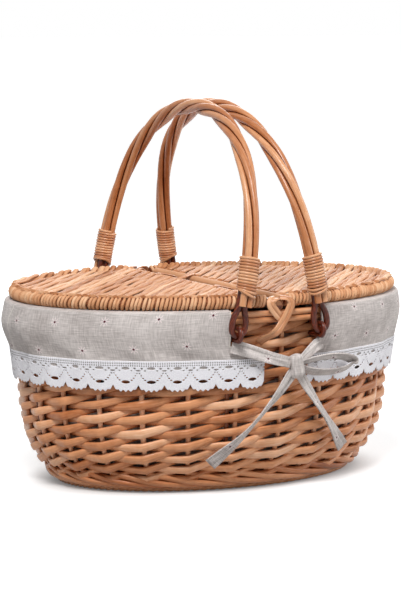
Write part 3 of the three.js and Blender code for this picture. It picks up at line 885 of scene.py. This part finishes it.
def curveThrough(points, per, isRing=False):
    points = np.array(points, float)
    count = len(points)
    if isRing:
        ends = [points[-1:], points, points[:2]]
    else:
        ends = [2 * points[:1] - points[1:2], points, 2 * points[-1:] - points[-2:-1]]
    p = np.concatenate(ends)
    out = []
    for i in range(count if isRing else count - 1):
        a, b, c, d = p[i:i + 4]
        for t in np.arange(per) / per:
            out.append(0.5 * (2 * b + (c - a) * t + (2 * a - 5 * b + 4 * c - d) * t ** 2
                              + (3 * b - a - 3 * c + d) * t ** 3))
    return np.array(out if isRing else out + [points[-1]])


def pathMesh(name, paths):
    mesh = bpy.data.meshes.new(name)
    places, edges = [], []
    columns = {"tone": [], "along": [], "facing": []}
    for path in paths:
        points = path["points"]
        isRing = path.get("isRing", False)
        first, count = len(places), len(points)
        edges += [(first + i, first + (i + 1) % count) for i in range(count if isRing else count - 1)]
        places += [tuple(p) for p in points]
        columns["along"] += list(lengthsAlong(points))
        columns["tone"] += [path["tone"]] * count
        columns["facing"] += list(np.broadcast_to(path["facing"], (count, 3)))
    mesh.from_pydata(places, edges, [])
    for key, values in columns.items():
        kind, field = ("FLOAT_VECTOR", "vector") if key == "facing" else ("FLOAT", "value")
        layer = mesh.attributes.new(key, kind, "POINT")
        layer.data.foreach_set(field, np.array(values, np.float32).ravel())
    return mesh


def sweptPiece(name, paths, sizes, nodes=(), body="basket"):
    given = {key: sizes[key] for key in ("thick", "wide", "sides", "finish")}
    w = sizedTree(name, given, True)
    lines = w.Path.then("MeshToCurve")
    sweepLines(w, lines, named(lines, "facing", "FLOAT_VECTOR"))
    return addPiece(growMesh(name, w.Path.tree, given, pathMesh(name, paths)), body, nodes)


asMade = np.array([1, 1, 1])
halfTurn = np.array([-1, -1, 1])
farSide = np.array([1, -1, 1])
sides = {"left": asMade, "right": halfTurn}
ends = {"near": asMade, "far": halfTurn}
lean = handle.lean
planeUp = np.array([math.sin(lean), 0, math.cos(lean)])
planeNormal = np.array([math.cos(lean), 0, -math.sin(lean)])

# Loops bound into the handles' feet, and the loops through the wall that they hang on
handleLoop = Sizes(
    reach=6.6, y=-150.25, tone=0.4, thick=5.4 * mm, wide=5.9 * mm, sides=12,
    leg=[(2.8, 40), (2.8, 30), (2.9, 22.5), (3.8, 16.5), (6.0, 10.5), (6.9, 4.5)], finish=brownLoop,
)
rimLoop = Sizes(
    high=160.7, low=149.0, front=-150.25, back=-129.7, tone=0.4, thick=4.6 * mm, wide=4.6 * mm, sides=10,
    finish=brownLoop,
)


def handleLoopPath():
    reach = handleLoop.reach
    down = handleLoop.leg
    bow = [(reach * math.cos(a), reach * math.sin(a)) for a in np.linspace(-0.1, -math.pi + 0.1, 9)]
    up = [(-x, h) for x, h in reversed(down)]
    foot = np.array([-handle.footX, handleLoop.y * mm, handle.pivotZ])
    return curveThrough([foot + (planeNormal * x + planeUp * h) * mm for x, h in down + bow + up], 5)


def rimLoopPath():
    radius = (rimLoop.high - rimLoop.low) / 2
    middle = (rimLoop.high + rimLoop.low) / 2
    half = [(radius * math.sin(a), radius * math.cos(a)) for a in np.linspace(0, math.pi, 9)]
    front = [(rimLoop.front - y, middle + z) for y, z in half]
    back = [(rimLoop.back + y, middle - z) for y, z in half]
    return curveThrough([(-handle.footX, y * mm, z * mm) for y, z in front + back], 3, True)


for name, turn in sides.items():
    order = ("near", "far") if name == "left" else ("far", "near")
    for end, mirror in zip(order, (asMade, farSide)):
        points = handleLoopPath() * mirror * turn
        path = {"points": points, "facing": (0, 1, 0), "tone": handleLoop.tone}
        sweptPiece(f"{name}_handle_loop_{end}", [path], handleLoop,
                   [f"handle_{name}_loop_{end}"], name + "_handle")
        points = rimLoopPath() * mirror * turn
        path = {"points": points, "facing": (1, 0, 0), "tone": rimLoop.tone, "isRing": True}
        sweptPiece(f"{name}_rim_loop_{end}", [path], rimLoop,
                   [f"rim_loop_{name}_{end}"])


# The near face of the wall at x and z, or a little outside it
def wallY(x, z, off=0.0):
    inset = wallInset(z) - off
    return -(oval.halfWidth - inset) * np.sqrt(1 - (x / (oval.halfLength - inset)) ** 2)


def wallSpot(x, z, off):
    return x, wallY(x * mm, z * mm, off * mm) / mm, z


# Lashing: flat cane in pairs, crossed over each end of the bar, and turns round the bar.
# The routes give x, the distance behind the front, and z; the long one ends inside the wall.
# The turns give y and tone
lashing = Sizes(
    thick=1.5 * mm, wide=4.5 * mm, apart=2.15 * mm, around=5.5, turns=[(-140.2, 0.5), (-144.2, 0.7)],
    front=-147.7, barZ=179.9, overTop=(181, 186), topLean=0.6, shortTone=0.8, longTone=0.6, toneStep=0.12,
    sides=10, finish=bandCane,
    short=[
        (-2.0, 1.3, 186.5), (-7.4, -1.7, 185.5), (-9.6, -2.9, 180.8), (-4.6, -2.0, 174.2),
        (3.2, -0.7, 166.4), (6.2, 0.4, 162.6),
    ],
    long=[
        (2.0, 1.3, 186.6), (8.2, -1.7, 185.8), (11.6, -3.1, 181.2), (8.8, -3.2, 173.2),
        (3.2, -2.8, 163.8), (-4.5, -2.4, 154.6),
    ],
    longEnd=[(-10.5, 148.5, -2), (-14.5, 144, 3)],
)


def lashingPaths():
    front = np.array([0, lashing.front, 0])
    short = [front + p for p in lashing.short]
    long = [front + p for p in lashing.long]
    long += [np.array(wallSpot(x, z, 0.0)) + (0, behind, 0) for x, z, behind in lashing.longEnd]
    low, high = lashing.overTop
    made = []
    for route, tone in ((short, lashing.shortTone), (long, lashing.longTone)):
        points = curveThrough(np.array(route) * mm, 6)
        up = np.clip((points[:, 2] / mm - low) / (high - low), 0, 1)
        facing = unit(np.stack([up * 0, up * lashing.topLean - 1, up], axis=1))
        aside = np.cross(tangents(points), facing) * lashing.apart
        for k in (-1, 1):
            strip = {"points": points + aside * k, "facing": facing, "tone": tone + lashing.toneStep * k}
            made.append(strip)
    turn = np.linspace(0, fullTurn, 20, endpoint=False)
    facing = np.stack([np.cos(turn), turn * 0, np.sin(turn)], axis=1)
    for y, tone in lashing.turns:
        points = (facing * lashing.around + np.array([0, y, lashing.barZ])) * mm
        made.append({"points": points, "facing": facing, "tone": tone, "isRing": True})
    return made


for end, turn in ends.items():
    paths = [dict(p, points=p["points"] * turn, facing=p["facing"] * turn) for p in lashingPaths()]
    sweptPiece(f"bar_lashing_{end}_cane", paths, lashing, ["bar_lashing_" + end])

# Hinge ties: three turns of cane round the bar and the lid's hinge rod
hingeTie = Sizes(
    tones=(0.4, 0.7, 0.55), places=(70, -50), pitch=3.0, around=5.55, barZ=179.9, rodX=-12.5, rodZ=183.0,
    thick=1.1 * mm, wide=2.9 * mm, sides=8, finish=bandCane,
)


def tiePath(y):
    middle = math.atan2(hingeTie.rodZ - hingeTie.barZ, hingeTie.rodX)
    half = np.linspace(-math.pi / 2, math.pi / 2, 9)
    ring = [(0, hingeTie.barZ, middle + math.pi + a) for a in half]
    ring += [(hingeTie.rodX, hingeTie.rodZ, middle + a) for a in half]
    facing = np.array([(math.cos(a), 0, math.sin(a)) for x, z, a in ring])
    return (np.array([(x, y, z) for x, z, a in ring]) + facing * hingeTie.around) * mm, facing


for name, turn in sides.items():
    for i, y in enumerate(hingeTie.places):
        paths = []
        for k, tone in enumerate(hingeTie.tones):
            points, facing = tiePath(y + (k - 1) * hingeTie.pitch)
            paths.append({"points": points * turn, "facing": facing * turn, "tone": tone, "isRing": True})
        sweptPiece(f"{name}_hinge_tie_{i + 1}", paths, hingeTie,
                   [f"hinge_tie_{name}_{i + 1}"])
print("loops, lashings and hinge ties made")


# Cloth: sheets of points with their own flat measure, given a thickness

def finishCloth(name, places, faces, flat, material, thick):
    mesh = bpy.data.meshes.new(name)
    mesh.from_pydata([tuple(p) for p in places], [], faces)
    layer = mesh.uv_layers.new(name="flat")
    corners = np.empty(len(mesh.loops), np.int32)
    mesh.loops.foreach_get("vertex_index", corners)
    layer.data.foreach_set("uv", flat[corners].astype(np.float32).ravel())
    mesh.polygons.foreach_set("use_smooth", np.ones(len(mesh.polygons), bool))
    mesh.materials.append(material)
    obj = linkObject(name, mesh)
    solid = obj.modifiers.new("thickness", "SOLIDIFY")
    solid.thickness = thick
    solid.offset = 0
    return obj


# A closed sheet's first row is filled across
def clothMesh(name, points, flat, material, thick, isRing=False, isClosed=False):
    rows, columns = points.shape[:2]
    faces = []
    for i in range(rows - 1):
        for j in range(columns if isRing else columns - 1):
            k = (j + 1) % columns
            faces.append((i * columns + j, i * columns + k, (i + 1) * columns + k, (i + 1) * columns + j))
    if isClosed:
        half = columns // 2
        faces += [(columns - j, columns - j - 1, j + 1, j) for j in range(1, half - 1)]
        faces += [(0, columns - 1, 1), (half + 1, half, half - 1)]
    return finishCloth(name, points.reshape(-1, 3), faces, flat.reshape(-1, 2), material, thick)


def levelRow(x, y, z):
    return np.stack([x, y, np.full_like(x, z)], axis=1)


# Liner bag: hangs inside the wall, with soft creases and a bottom
bag = Sizes(
    around=180, gap=15.5 * mm, footGap=2.4 * mm, low=20 * mm, high=166 * mm, rows=40, bottomRows=14,
    bottomShare=0.997, slot=3 * mm, settle=10 * mm, thick=1.2 * mm, area=0.20, creases=17, fineCreases=29,
    creaseDeep=0.9 * mm, bulge=1.2 * mm, bulgeFrom=17 * mm, printRadius=160 * mm, printUp=0.2,
)


def bagInset(z):
    return wallInset(z) + bag.gap + bag.footGap * (1 - z / wallShape.rimTop) ** 2


def bagSheet():
    angle = np.linspace(0, fullTurn, bag.around, endpoint=False)
    halfRound = math.pi - np.abs(angle - math.pi)
    rows, flat = [], []
    for share in np.linspace(0, bag.bottomShare, bag.bottomRows):
        inset = mix(oval.halfWidth - bag.slot, bagInset(bag.low), share)
        x, y = ovalPoint(inset, angle)
        rows.append(levelRow(x, y, bag.low))
        flat.append(np.stack([x, y], axis=1))
    for z in np.linspace(bag.low, bag.high, bag.rows):
        crease = np.sin(angle * bag.creases + 3 * np.sin(z * 40))
        crease = crease + 0.6 * np.sin(angle * bag.fineCreases + z * 60)
        sway = bag.creaseDeep * (1 + crease * 0.5) + bag.bulge * np.sin((z - bag.bulgeFrom) * 30) ** 2
        x, y = ovalPoint(bagInset(z) + sway * min((z - bag.low) / bag.settle, 1), angle)
        rows.append(levelRow(x, y, z))
        flat.append(np.stack([halfRound * bag.printRadius, np.full_like(x, z + bag.printUp)], axis=1))
    return np.array(rows), np.array(flat)


points, flat = bagSheet()
liner = clothMesh("liner_bag_cloth", points, flat, printedLinen, bag.thick, True, True)
addPiece(liner, "basket", ["liner_bag"])

# Cuffs: the liner folded over the rim, in soft folds that grow downwards.
# The profile gives inset, height and share of the folds; the edges give x at a height
cuff = Sizes(
    profile=[
        (4.7, 119, 0.8), (3.4, 130.5, 1), (0.8, 143, 0.8), (-2.2, 158, 0.4), (-2.4, 171.5, 0),
        (-0.4, 175.8, 0), (10, 176.2, 0), (18.5, 174.6, 0), (22.0, 169, 0), (22.6, 158, 0),
    ],
    near=[(-12, 130), (-48, 143), (-48, 176)], far=[(-37, 130), (-48, 143), (-48, 176)], folds=8,
    depth=2.0, steps=260, thick=1.2 * mm, gathers=1.1, belly=5.0, bellySpread=0.42, bellyHigh=154,
    bellyReach=17, outerInset=5, laceRow=6, rimRow=32,
)


def edgeX(edge, z):
    x, heights = zip(*edge)
    return np.interp(z, heights, x)


# The oval's angles at a near and a far x, on the way round the left end
def endAngles(nearX, farX):
    half = oval.halfLength / mm
    return fullTurn - np.arccos(nearX / half), np.arccos(farX / half)


# Broad folds, and fine gathers that are not all alike
def foldAt(share, angle):
    broad = 0.5 - 0.5 * np.cos(fullTurn * cuff.folds * share)
    fine = 0.35 * np.sin(angle * 41 + 2 * np.sin(angle * 7)) + 0.25 * np.sin(angle * 67 + 1)
    return cuff.depth * broad + cuff.gathers * (0.3 + fine * 0.6)


def cuffSheet():
    line = curveThrough(cuff.profile, 6)
    rows, flat = [], []
    down = lengthsAlong(line[:, :2])
    down = down - down[cuff.laceRow]
    along = np.linspace(0, 1, cuff.steps)
    for (inset, z, share), run in zip(line, down):
        angle = mix(*endAngles(edgeX(cuff.near, z), edgeX(cuff.far, z)), along)
        drape = np.clip(share, 0, 1) * foldAt(along, angle)
        if inset < cuff.outerInset:
            belly = cuff.belly * math.exp(-((z - cuff.bellyHigh) / cuff.bellyReach) ** 2)
            drape = drape + belly * np.exp(-((angle - math.pi) / cuff.bellySpread) ** 2)
        x, y = ovalPoint((inset - drape) * mm, angle)
        rows.append(levelRow(x, y, z * mm))
        across = lengthsAlong(rows[-1])
        across = across - np.interp(-math.pi, -angle, across)
        flat.append(np.stack([across, np.full(len(x), -run * mm)], axis=1))
    return np.array(rows), np.array(flat)


cuffPoints, cuffFlat = cuffSheet()
hem = Sizes(tone=0.5, thick=1.7 * mm, wide=2.3 * mm, sides=8, finish=hemLinen)
for name, turn in sides.items():
    piece = clothMesh(f"liner_cuff_{name}_cloth", cuffPoints * turn, cuffFlat, printedLinen, cuff.thick)
    addPiece(piece, "basket", ["liner_cuff_" + name])
    outer = cuffPoints[cuff.laceRow:cuff.rimRow]
    seam = np.array([row[np.argmin(row[:, 0])] for row in outer])
    edges = []
    for route in (outer[:, 0], outer[:, -1], seam):
        points = route * turn
        edges.append({"points": points, "facing": unit(points * np.array([1, 1, 0])), "tone": hem.tone})
    trim = sweptPiece("liner_hem_" + name, edges, hem)
print("liner made")

# Lace: one repeat drawn as a field that is positive on thread, cut to its zero line.
# Each hole gives its middle across and down, and its half width and half height
lace = Sizes(
    unit=24.0, deep=29.5, cell=0.66, high=131.0, low=101.5, nearX=(-12, -12), farX=(-37, -35),
    topInset=2.2, off=2.2, tooth=4.8, toothDeep=4.6, notch=4.2, notchDeep=3.4, bow=1.4, thick=0.9 * mm,
    holes=[
        (0, 6.8, 3.8, 1.5), (8.6, 6.8, 1.2, 0.95), (12, 8.8, 2.3, 0.9), (5.6, 8.9, 0.95, 0.75),
        (0, 19.7, 4.2, 1.6), (5.7, 17.9, 1.15, 0.75), (7.6, 16.0, 1.0, 0.7), (9.2, 13.6, 0.85, 0.6),
        (10.8, 11.4, 0.85, 0.6),
    ],
)


def laceField(u, v):
    half = lace.unit / 2
    side = np.abs(np.mod(u, lace.unit) - half)
    tooth = lace.toothDeep * np.abs(np.mod(u / lace.tooth, 1) - 0.5)
    notch = lace.notchDeep * np.clip(1 - (half - side) / lace.notch, 0, 1)
    bottom = lace.deep - 0.3 - lace.bow * (side / half) ** 2 - tooth - notch
    field = np.minimum(bottom - v, v + 0.4)
    for across, down, wide, high in lace.holes:
        reach = np.sqrt(((side - across) / wide) ** 2 + ((v - down) / high) ** 2)
        field = np.minimum(field, (reach - 1) * min(wide, high))
    return field


def laceMesh(length):
    nu = int(round(length / lace.cell))
    nv = int(round(lace.deep / lace.cell))
    us = np.linspace(0, length, nu + 1)
    vs = np.linspace(0, lace.deep, nv + 1)
    values = laceField(us[:, None], vs[None, :])
    keys, places, faces = {}, [], []

    def corner(key, u, v):
        if key not in keys:
            keys[key] = len(places)
            places.append((u, v))
        return keys[key]

    for i in range(nu):
        for j in range(nv):
            ring = [(i, j), (i + 1, j), (i + 1, j + 1), (i, j + 1)]
            inside = [values[p] > 0 for p in ring]
            if not any(inside):
                continue
            face = []
            for k in range(4):
                a, b = ring[k], ring[(k + 1) % 4]
                if inside[k]:
                    face.append(corner(a, us[a[0]], vs[a[1]]))
                if inside[k] != inside[(k + 1) % 4]:
                    share = min(max(values[a] / (values[a] - values[b]), 0.08), 0.92)
                    u = mix(us[a[0]], us[b[0]], share)
                    v = mix(vs[a[1]], vs[b[1]], share)
                    face.append(corner((min(a, b), max(a, b)), u, v))
            faces.append(tuple(face))
    return np.array(places), faces


def laceStrip():
    shares = np.linspace(0, 1, 600)
    x, y = ovalPoint(lace.topInset * mm, mix(*endAngles(lace.nearX[0], lace.farX[0]), shares))
    run = lengthsAlong(np.stack([x, y], axis=1)) / mm
    flat, faces = laceMesh(run[-1])
    share = np.interp(flat[:, 0], run, shares)
    down = flat[:, 1] / lace.deep
    z = mix(lace.high, lace.low, down)
    angle = mix(*endAngles(mix(*lace.nearX, down), mix(*lace.farX, down)), share)
    lowInset = wallInset(lace.low * mm) / mm - lace.off
    drape = foldAt(share, angle) * (1 - down * 0.55)
    x, y = ovalPoint((mix(lace.topInset, lowInset, down) - drape) * mm, angle)
    return np.stack([x, y, z * mm], axis=1), faces, flat * mm


lacePoints, laceFaces, laceFlat = laceStrip()
for name, turn in sides.items():
    points = lacePoints * turn
    piece = finishCloth("lace_edging_" + name, points, laceFaces, laceFlat, cottonLace, lace.thick)
    addPiece(piece, "basket", ["lace_" + name])
    print("   lace", len(laceFaces), "faces")

# Ties: ribbons of the same linen, knotted in front of the wall.
# A route gives x, height and distance off the wall; then the way the ribbon is wide, its widths and its turn
tie = Sizes(
    thick=1.2 * mm, across=15, per=14, fold=0.5, crease=0.9, creaseAt=0.3, creaseWide=0.16, printMiddle=0.013,
    printHalf=0.0065, printStart=0.011, knot=(17.8, 122.0, 12.0), knotSize=(6.6, 6.4, 11.0), knotBox=3.2,
    knotAround=60, knotRows=25, knotWaist=0.14, knotLean=0.14, knotSkew=1.6, knotPrint=6 * mm,
)
ribbons = Sizes(
    strap_left=Sizes(
        route=[(-47, 144, 8.5), (-36, 140.5, 9.5), (-24, 136.4, 10), (-8, 131, 11), (12, 125.5, 12.5)],
        wide=(0.3, 0, 1), widths=(13.5, 10), turn=0,
    ),
    strap_right=Sizes(
        route=[(51, 141, 4.5), (41, 138.5, 9), (31, 132.5, 11), (22, 126, 12.5)], wide=(-0.5, 0, 1),
        widths=(12, 9), turn=0,
    ),
    bow_loop=Sizes(
        route=[
            (22, 124, 13.5), (34, 127, 15), (50, 128.6, 16), (68, 127.4, 15.5), (81, 124, 14.5),
            (87.5, 119.6, 13), (80, 115, 12), (66, 113, 11.5), (48, 113.6, 11.5), (34, 116, 11.5),
            (21, 120, 11),
        ],
        wide=(0, -0.75, 0.66), widths=(10, 10.4), turn=0,
    ),
    tail_left=Sizes(
        route=[(15, 117, 11.5), (6, 105, 11), (-6, 90, 10), (-32, 60, 8.5), (-59, 31, 6.5)],
        wide=(0.76, 0, -0.65), widths=(10.5, 12.5), turn=-0.9,
    ),
    tail_right=Sizes(
        route=[(21, 116, 12), (29, 104, 11.5), (40, 90, 10.5), (64, 61, 8.5), (88, 35, 6.5)],
        wide=(0.77, 0, 0.64), widths=(9.5, 12.5), turn=-0.8,
    ),
)


def ribbonSheet(ribbon):
    line = curveThrough(np.array([wallSpot(*p) for p in ribbon.route]) * mm, tie.per)
    run = lengthsAlong(line)
    share = run / run[-1]
    along = tangents(line)
    wide = np.array(ribbon.wide, float)
    wide = unit(wide - along * (along @ wide)[:, None])
    out = np.cross(along, wide)
    turn = (ribbon.turn * np.sin(math.pi * share ** 0.85) ** 1.4)[:, None]
    wide, out = wide * np.cos(turn) + out * np.sin(turn), out * np.cos(turn) - wide * np.sin(turn)
    width = mix(*ribbon.widths, share) * mm
    rows, flat = [], []
    for c in np.linspace(-1, 1, tie.across):
        fold = tie.fold * np.cos(c * 5 + 2.2 * share * math.pi) * (0.4 + 0.6 * (1 - share))
        crease = -tie.crease * math.exp(-((c - tie.creaseAt) / tie.creaseWide) ** 2) * (1 - share * 0.4)
        rows.append(line + wide * (c * width / 2)[:, None] + out * ((fold + crease) * mm)[:, None])
        across = np.full_like(run, tie.printMiddle + c * tie.printHalf)
        flat.append(np.stack([across, run + tie.printStart], axis=1))
    return np.array(rows), np.array(flat), float(run[-1])


# A boxy barrel with a slight waist and folds round it
def knotSheet():
    rows, flat = [], []
    turn = np.linspace(0, fullTurn, tie.knotAround, endpoint=False)
    power = tie.knotBox
    box = (np.abs(np.cos(turn)) ** power + np.abs(np.sin(turn)) ** power) ** (-1 / power)
    sizeX, sizeY, sizeZ = tie.knotSize
    for share in np.concatenate([[-0.9998], np.linspace(-0.985, 0.985, tie.knotRows), [0.9998]]):
        full = (1 - abs(share) ** 5) ** 0.5 * (1 - tie.knotWaist + tie.knotWaist * share * share)
        fold = 0.055 * np.sin(turn * 7 + share * 1.5) + 0.04 * np.sin(turn * 11 - share * 2)
        radius = full * box * (1 + fold)
        z = sizeZ * share + tie.knotSkew * full * np.cos(turn + 0.5)
        place = [sizeX * radius * np.cos(turn) - z * tie.knotLean, sizeY * radius * np.sin(turn), z]
        rows.append(np.stack(place, axis=1) * mm)
        flat.append(np.stack([turn * tie.knotPrint, z * mm + bag.printUp], axis=1))
    return np.array(rows) + np.array(wallSpot(*tie.knot)) * mm, np.array(flat)


for end, turn in ends.items():
    for name, ribbon in ribbons.items():
        points, flat, length = ribbonSheet(ribbon)
        piece = clothMesh(f"{end}_{name}_cloth", points * turn, flat, printedLinen, tie.thick)
        addPiece(piece, "basket", [f"{end}_{name}"])
    points, flat = knotSheet()
    piece = clothMesh(f"{end}_knot_cloth", points * turn, flat, plainLinen, tie.thick, True)
    addPiece(piece, "basket", [f"{end}_knot"])
print("lace and ties made")


# Floor, light and camera

scene = bpy.context.scene
scene.view_settings.view_transform = "Standard"
stageSizes = Sizes(
    floor=60.0, skyLight=0.16, nearGlow=0.68, farGlow=0.9, glowSpread=(0.65, 1.0, 1.0), glowRing=(0.3, 1.4),
    underRing=(0.085, 0.13), aim=(0, 0, 0.15),
)
lamps = Sizes(
    key=Sizes(place=(-0.85, -1.1, 1.9), size=0.7, power=48.0),
    fill=Sizes(place=(1.6, -0.9, 0.9), size=1.2, power=18.0),
    back=Sizes(place=(0.9, 1.7, 0.9), size=1.2, power=14.0),
)
photoView = Sizes(place=(-1.0816, -2.0688, 0.4542), aim=(0.00115, 0.0108, 0.1667), lens=143.9, sensor=36)


# Only what the camera sees, also by reflection, shows the sky and the glow of the floor
def isSeen(wire):
    path = wire.node("ShaderNodeLightPath", None, "Is Camera Ray")
    return atLeast(atLeast(path, path.also("Is Glossy Ray")), path.also("Is Transmission Ray"))


def setWorld():
    world = bpy.data.worlds.new("studio")
    scene.world = world
    world.use_nodes = True
    background = world.node_tree.nodes["Background"]
    background.inputs["Color"].default_value = (1, 1, 1, 1)
    strength = isSeen(Wire(world.node_tree)) * (1 - stageSizes.skyLight) + stageSizes.skyLight
    feed(background, strength, "Strength")


def setFloor():
    half = stageSizes.floor / 2
    mesh = bpy.data.meshes.new("studio_floor")
    corners = [(-half, -half, 0), (half, -half, 0), (half, half, 0), (-half, half, 0)]
    mesh.from_pydata(corners, [], [(0, 1, 2, 3)])
    material, shader, wire = newMaterial("studio_floor", 0.9, specular=0.1)
    shader.inputs["Base Color"].default_value = (0.5, 0.5, 0.5, 1)
    shader.inputs["Emission Strength"].default_value = 1
    place = wire.node("ShaderNodeTexCoord", None, "Object") * stageSizes.glowSpread
    away = place.node("ShaderNodeVectorMath", {0: place}, "Value", operation="LENGTH")
    # Round the basket's foot the glow fades to nothing: a painted shadow under the basket. Further out the
    # glow is weaker near the basket than far off
    glow = mix(stageSizes.nearGlow, stageSizes.farGlow, smoothStep(away, *stageSizes.glowRing))
    seen = isSeen(wire) * glow * smoothStep(away, *stageSizes.underRing)
    feed(shader, combine(seen, seen, seen), "Emission Color")
    mesh.materials.append(material)
    linkObject("studio_floor", mesh)


def aimAt(obj, place, aim):
    obj.location = place
    obj.rotation_euler = (Vector(aim) - Vector(place)).to_track_quat("-Z", "Y").to_euler()


setWorld()
setFloor()
for name, sizes in lamps.items():
    lamp = bpy.data.lights.new(name, "AREA")
    lamp.size = sizes.size
    lamp.energy = sizes.power
    aimAt(linkObject(name, lamp), sizes.place, stageSizes.aim)

view = bpy.data.cameras.new("view")
view.sensor_fit = "VERTICAL"
view.sensor_height = photoView.sensor
view.lens = photoView.lens
view.clip_end = 100
scene.camera = linkObject("view", view)
aimAt(scene.camera, photoView.place, photoView.aim)
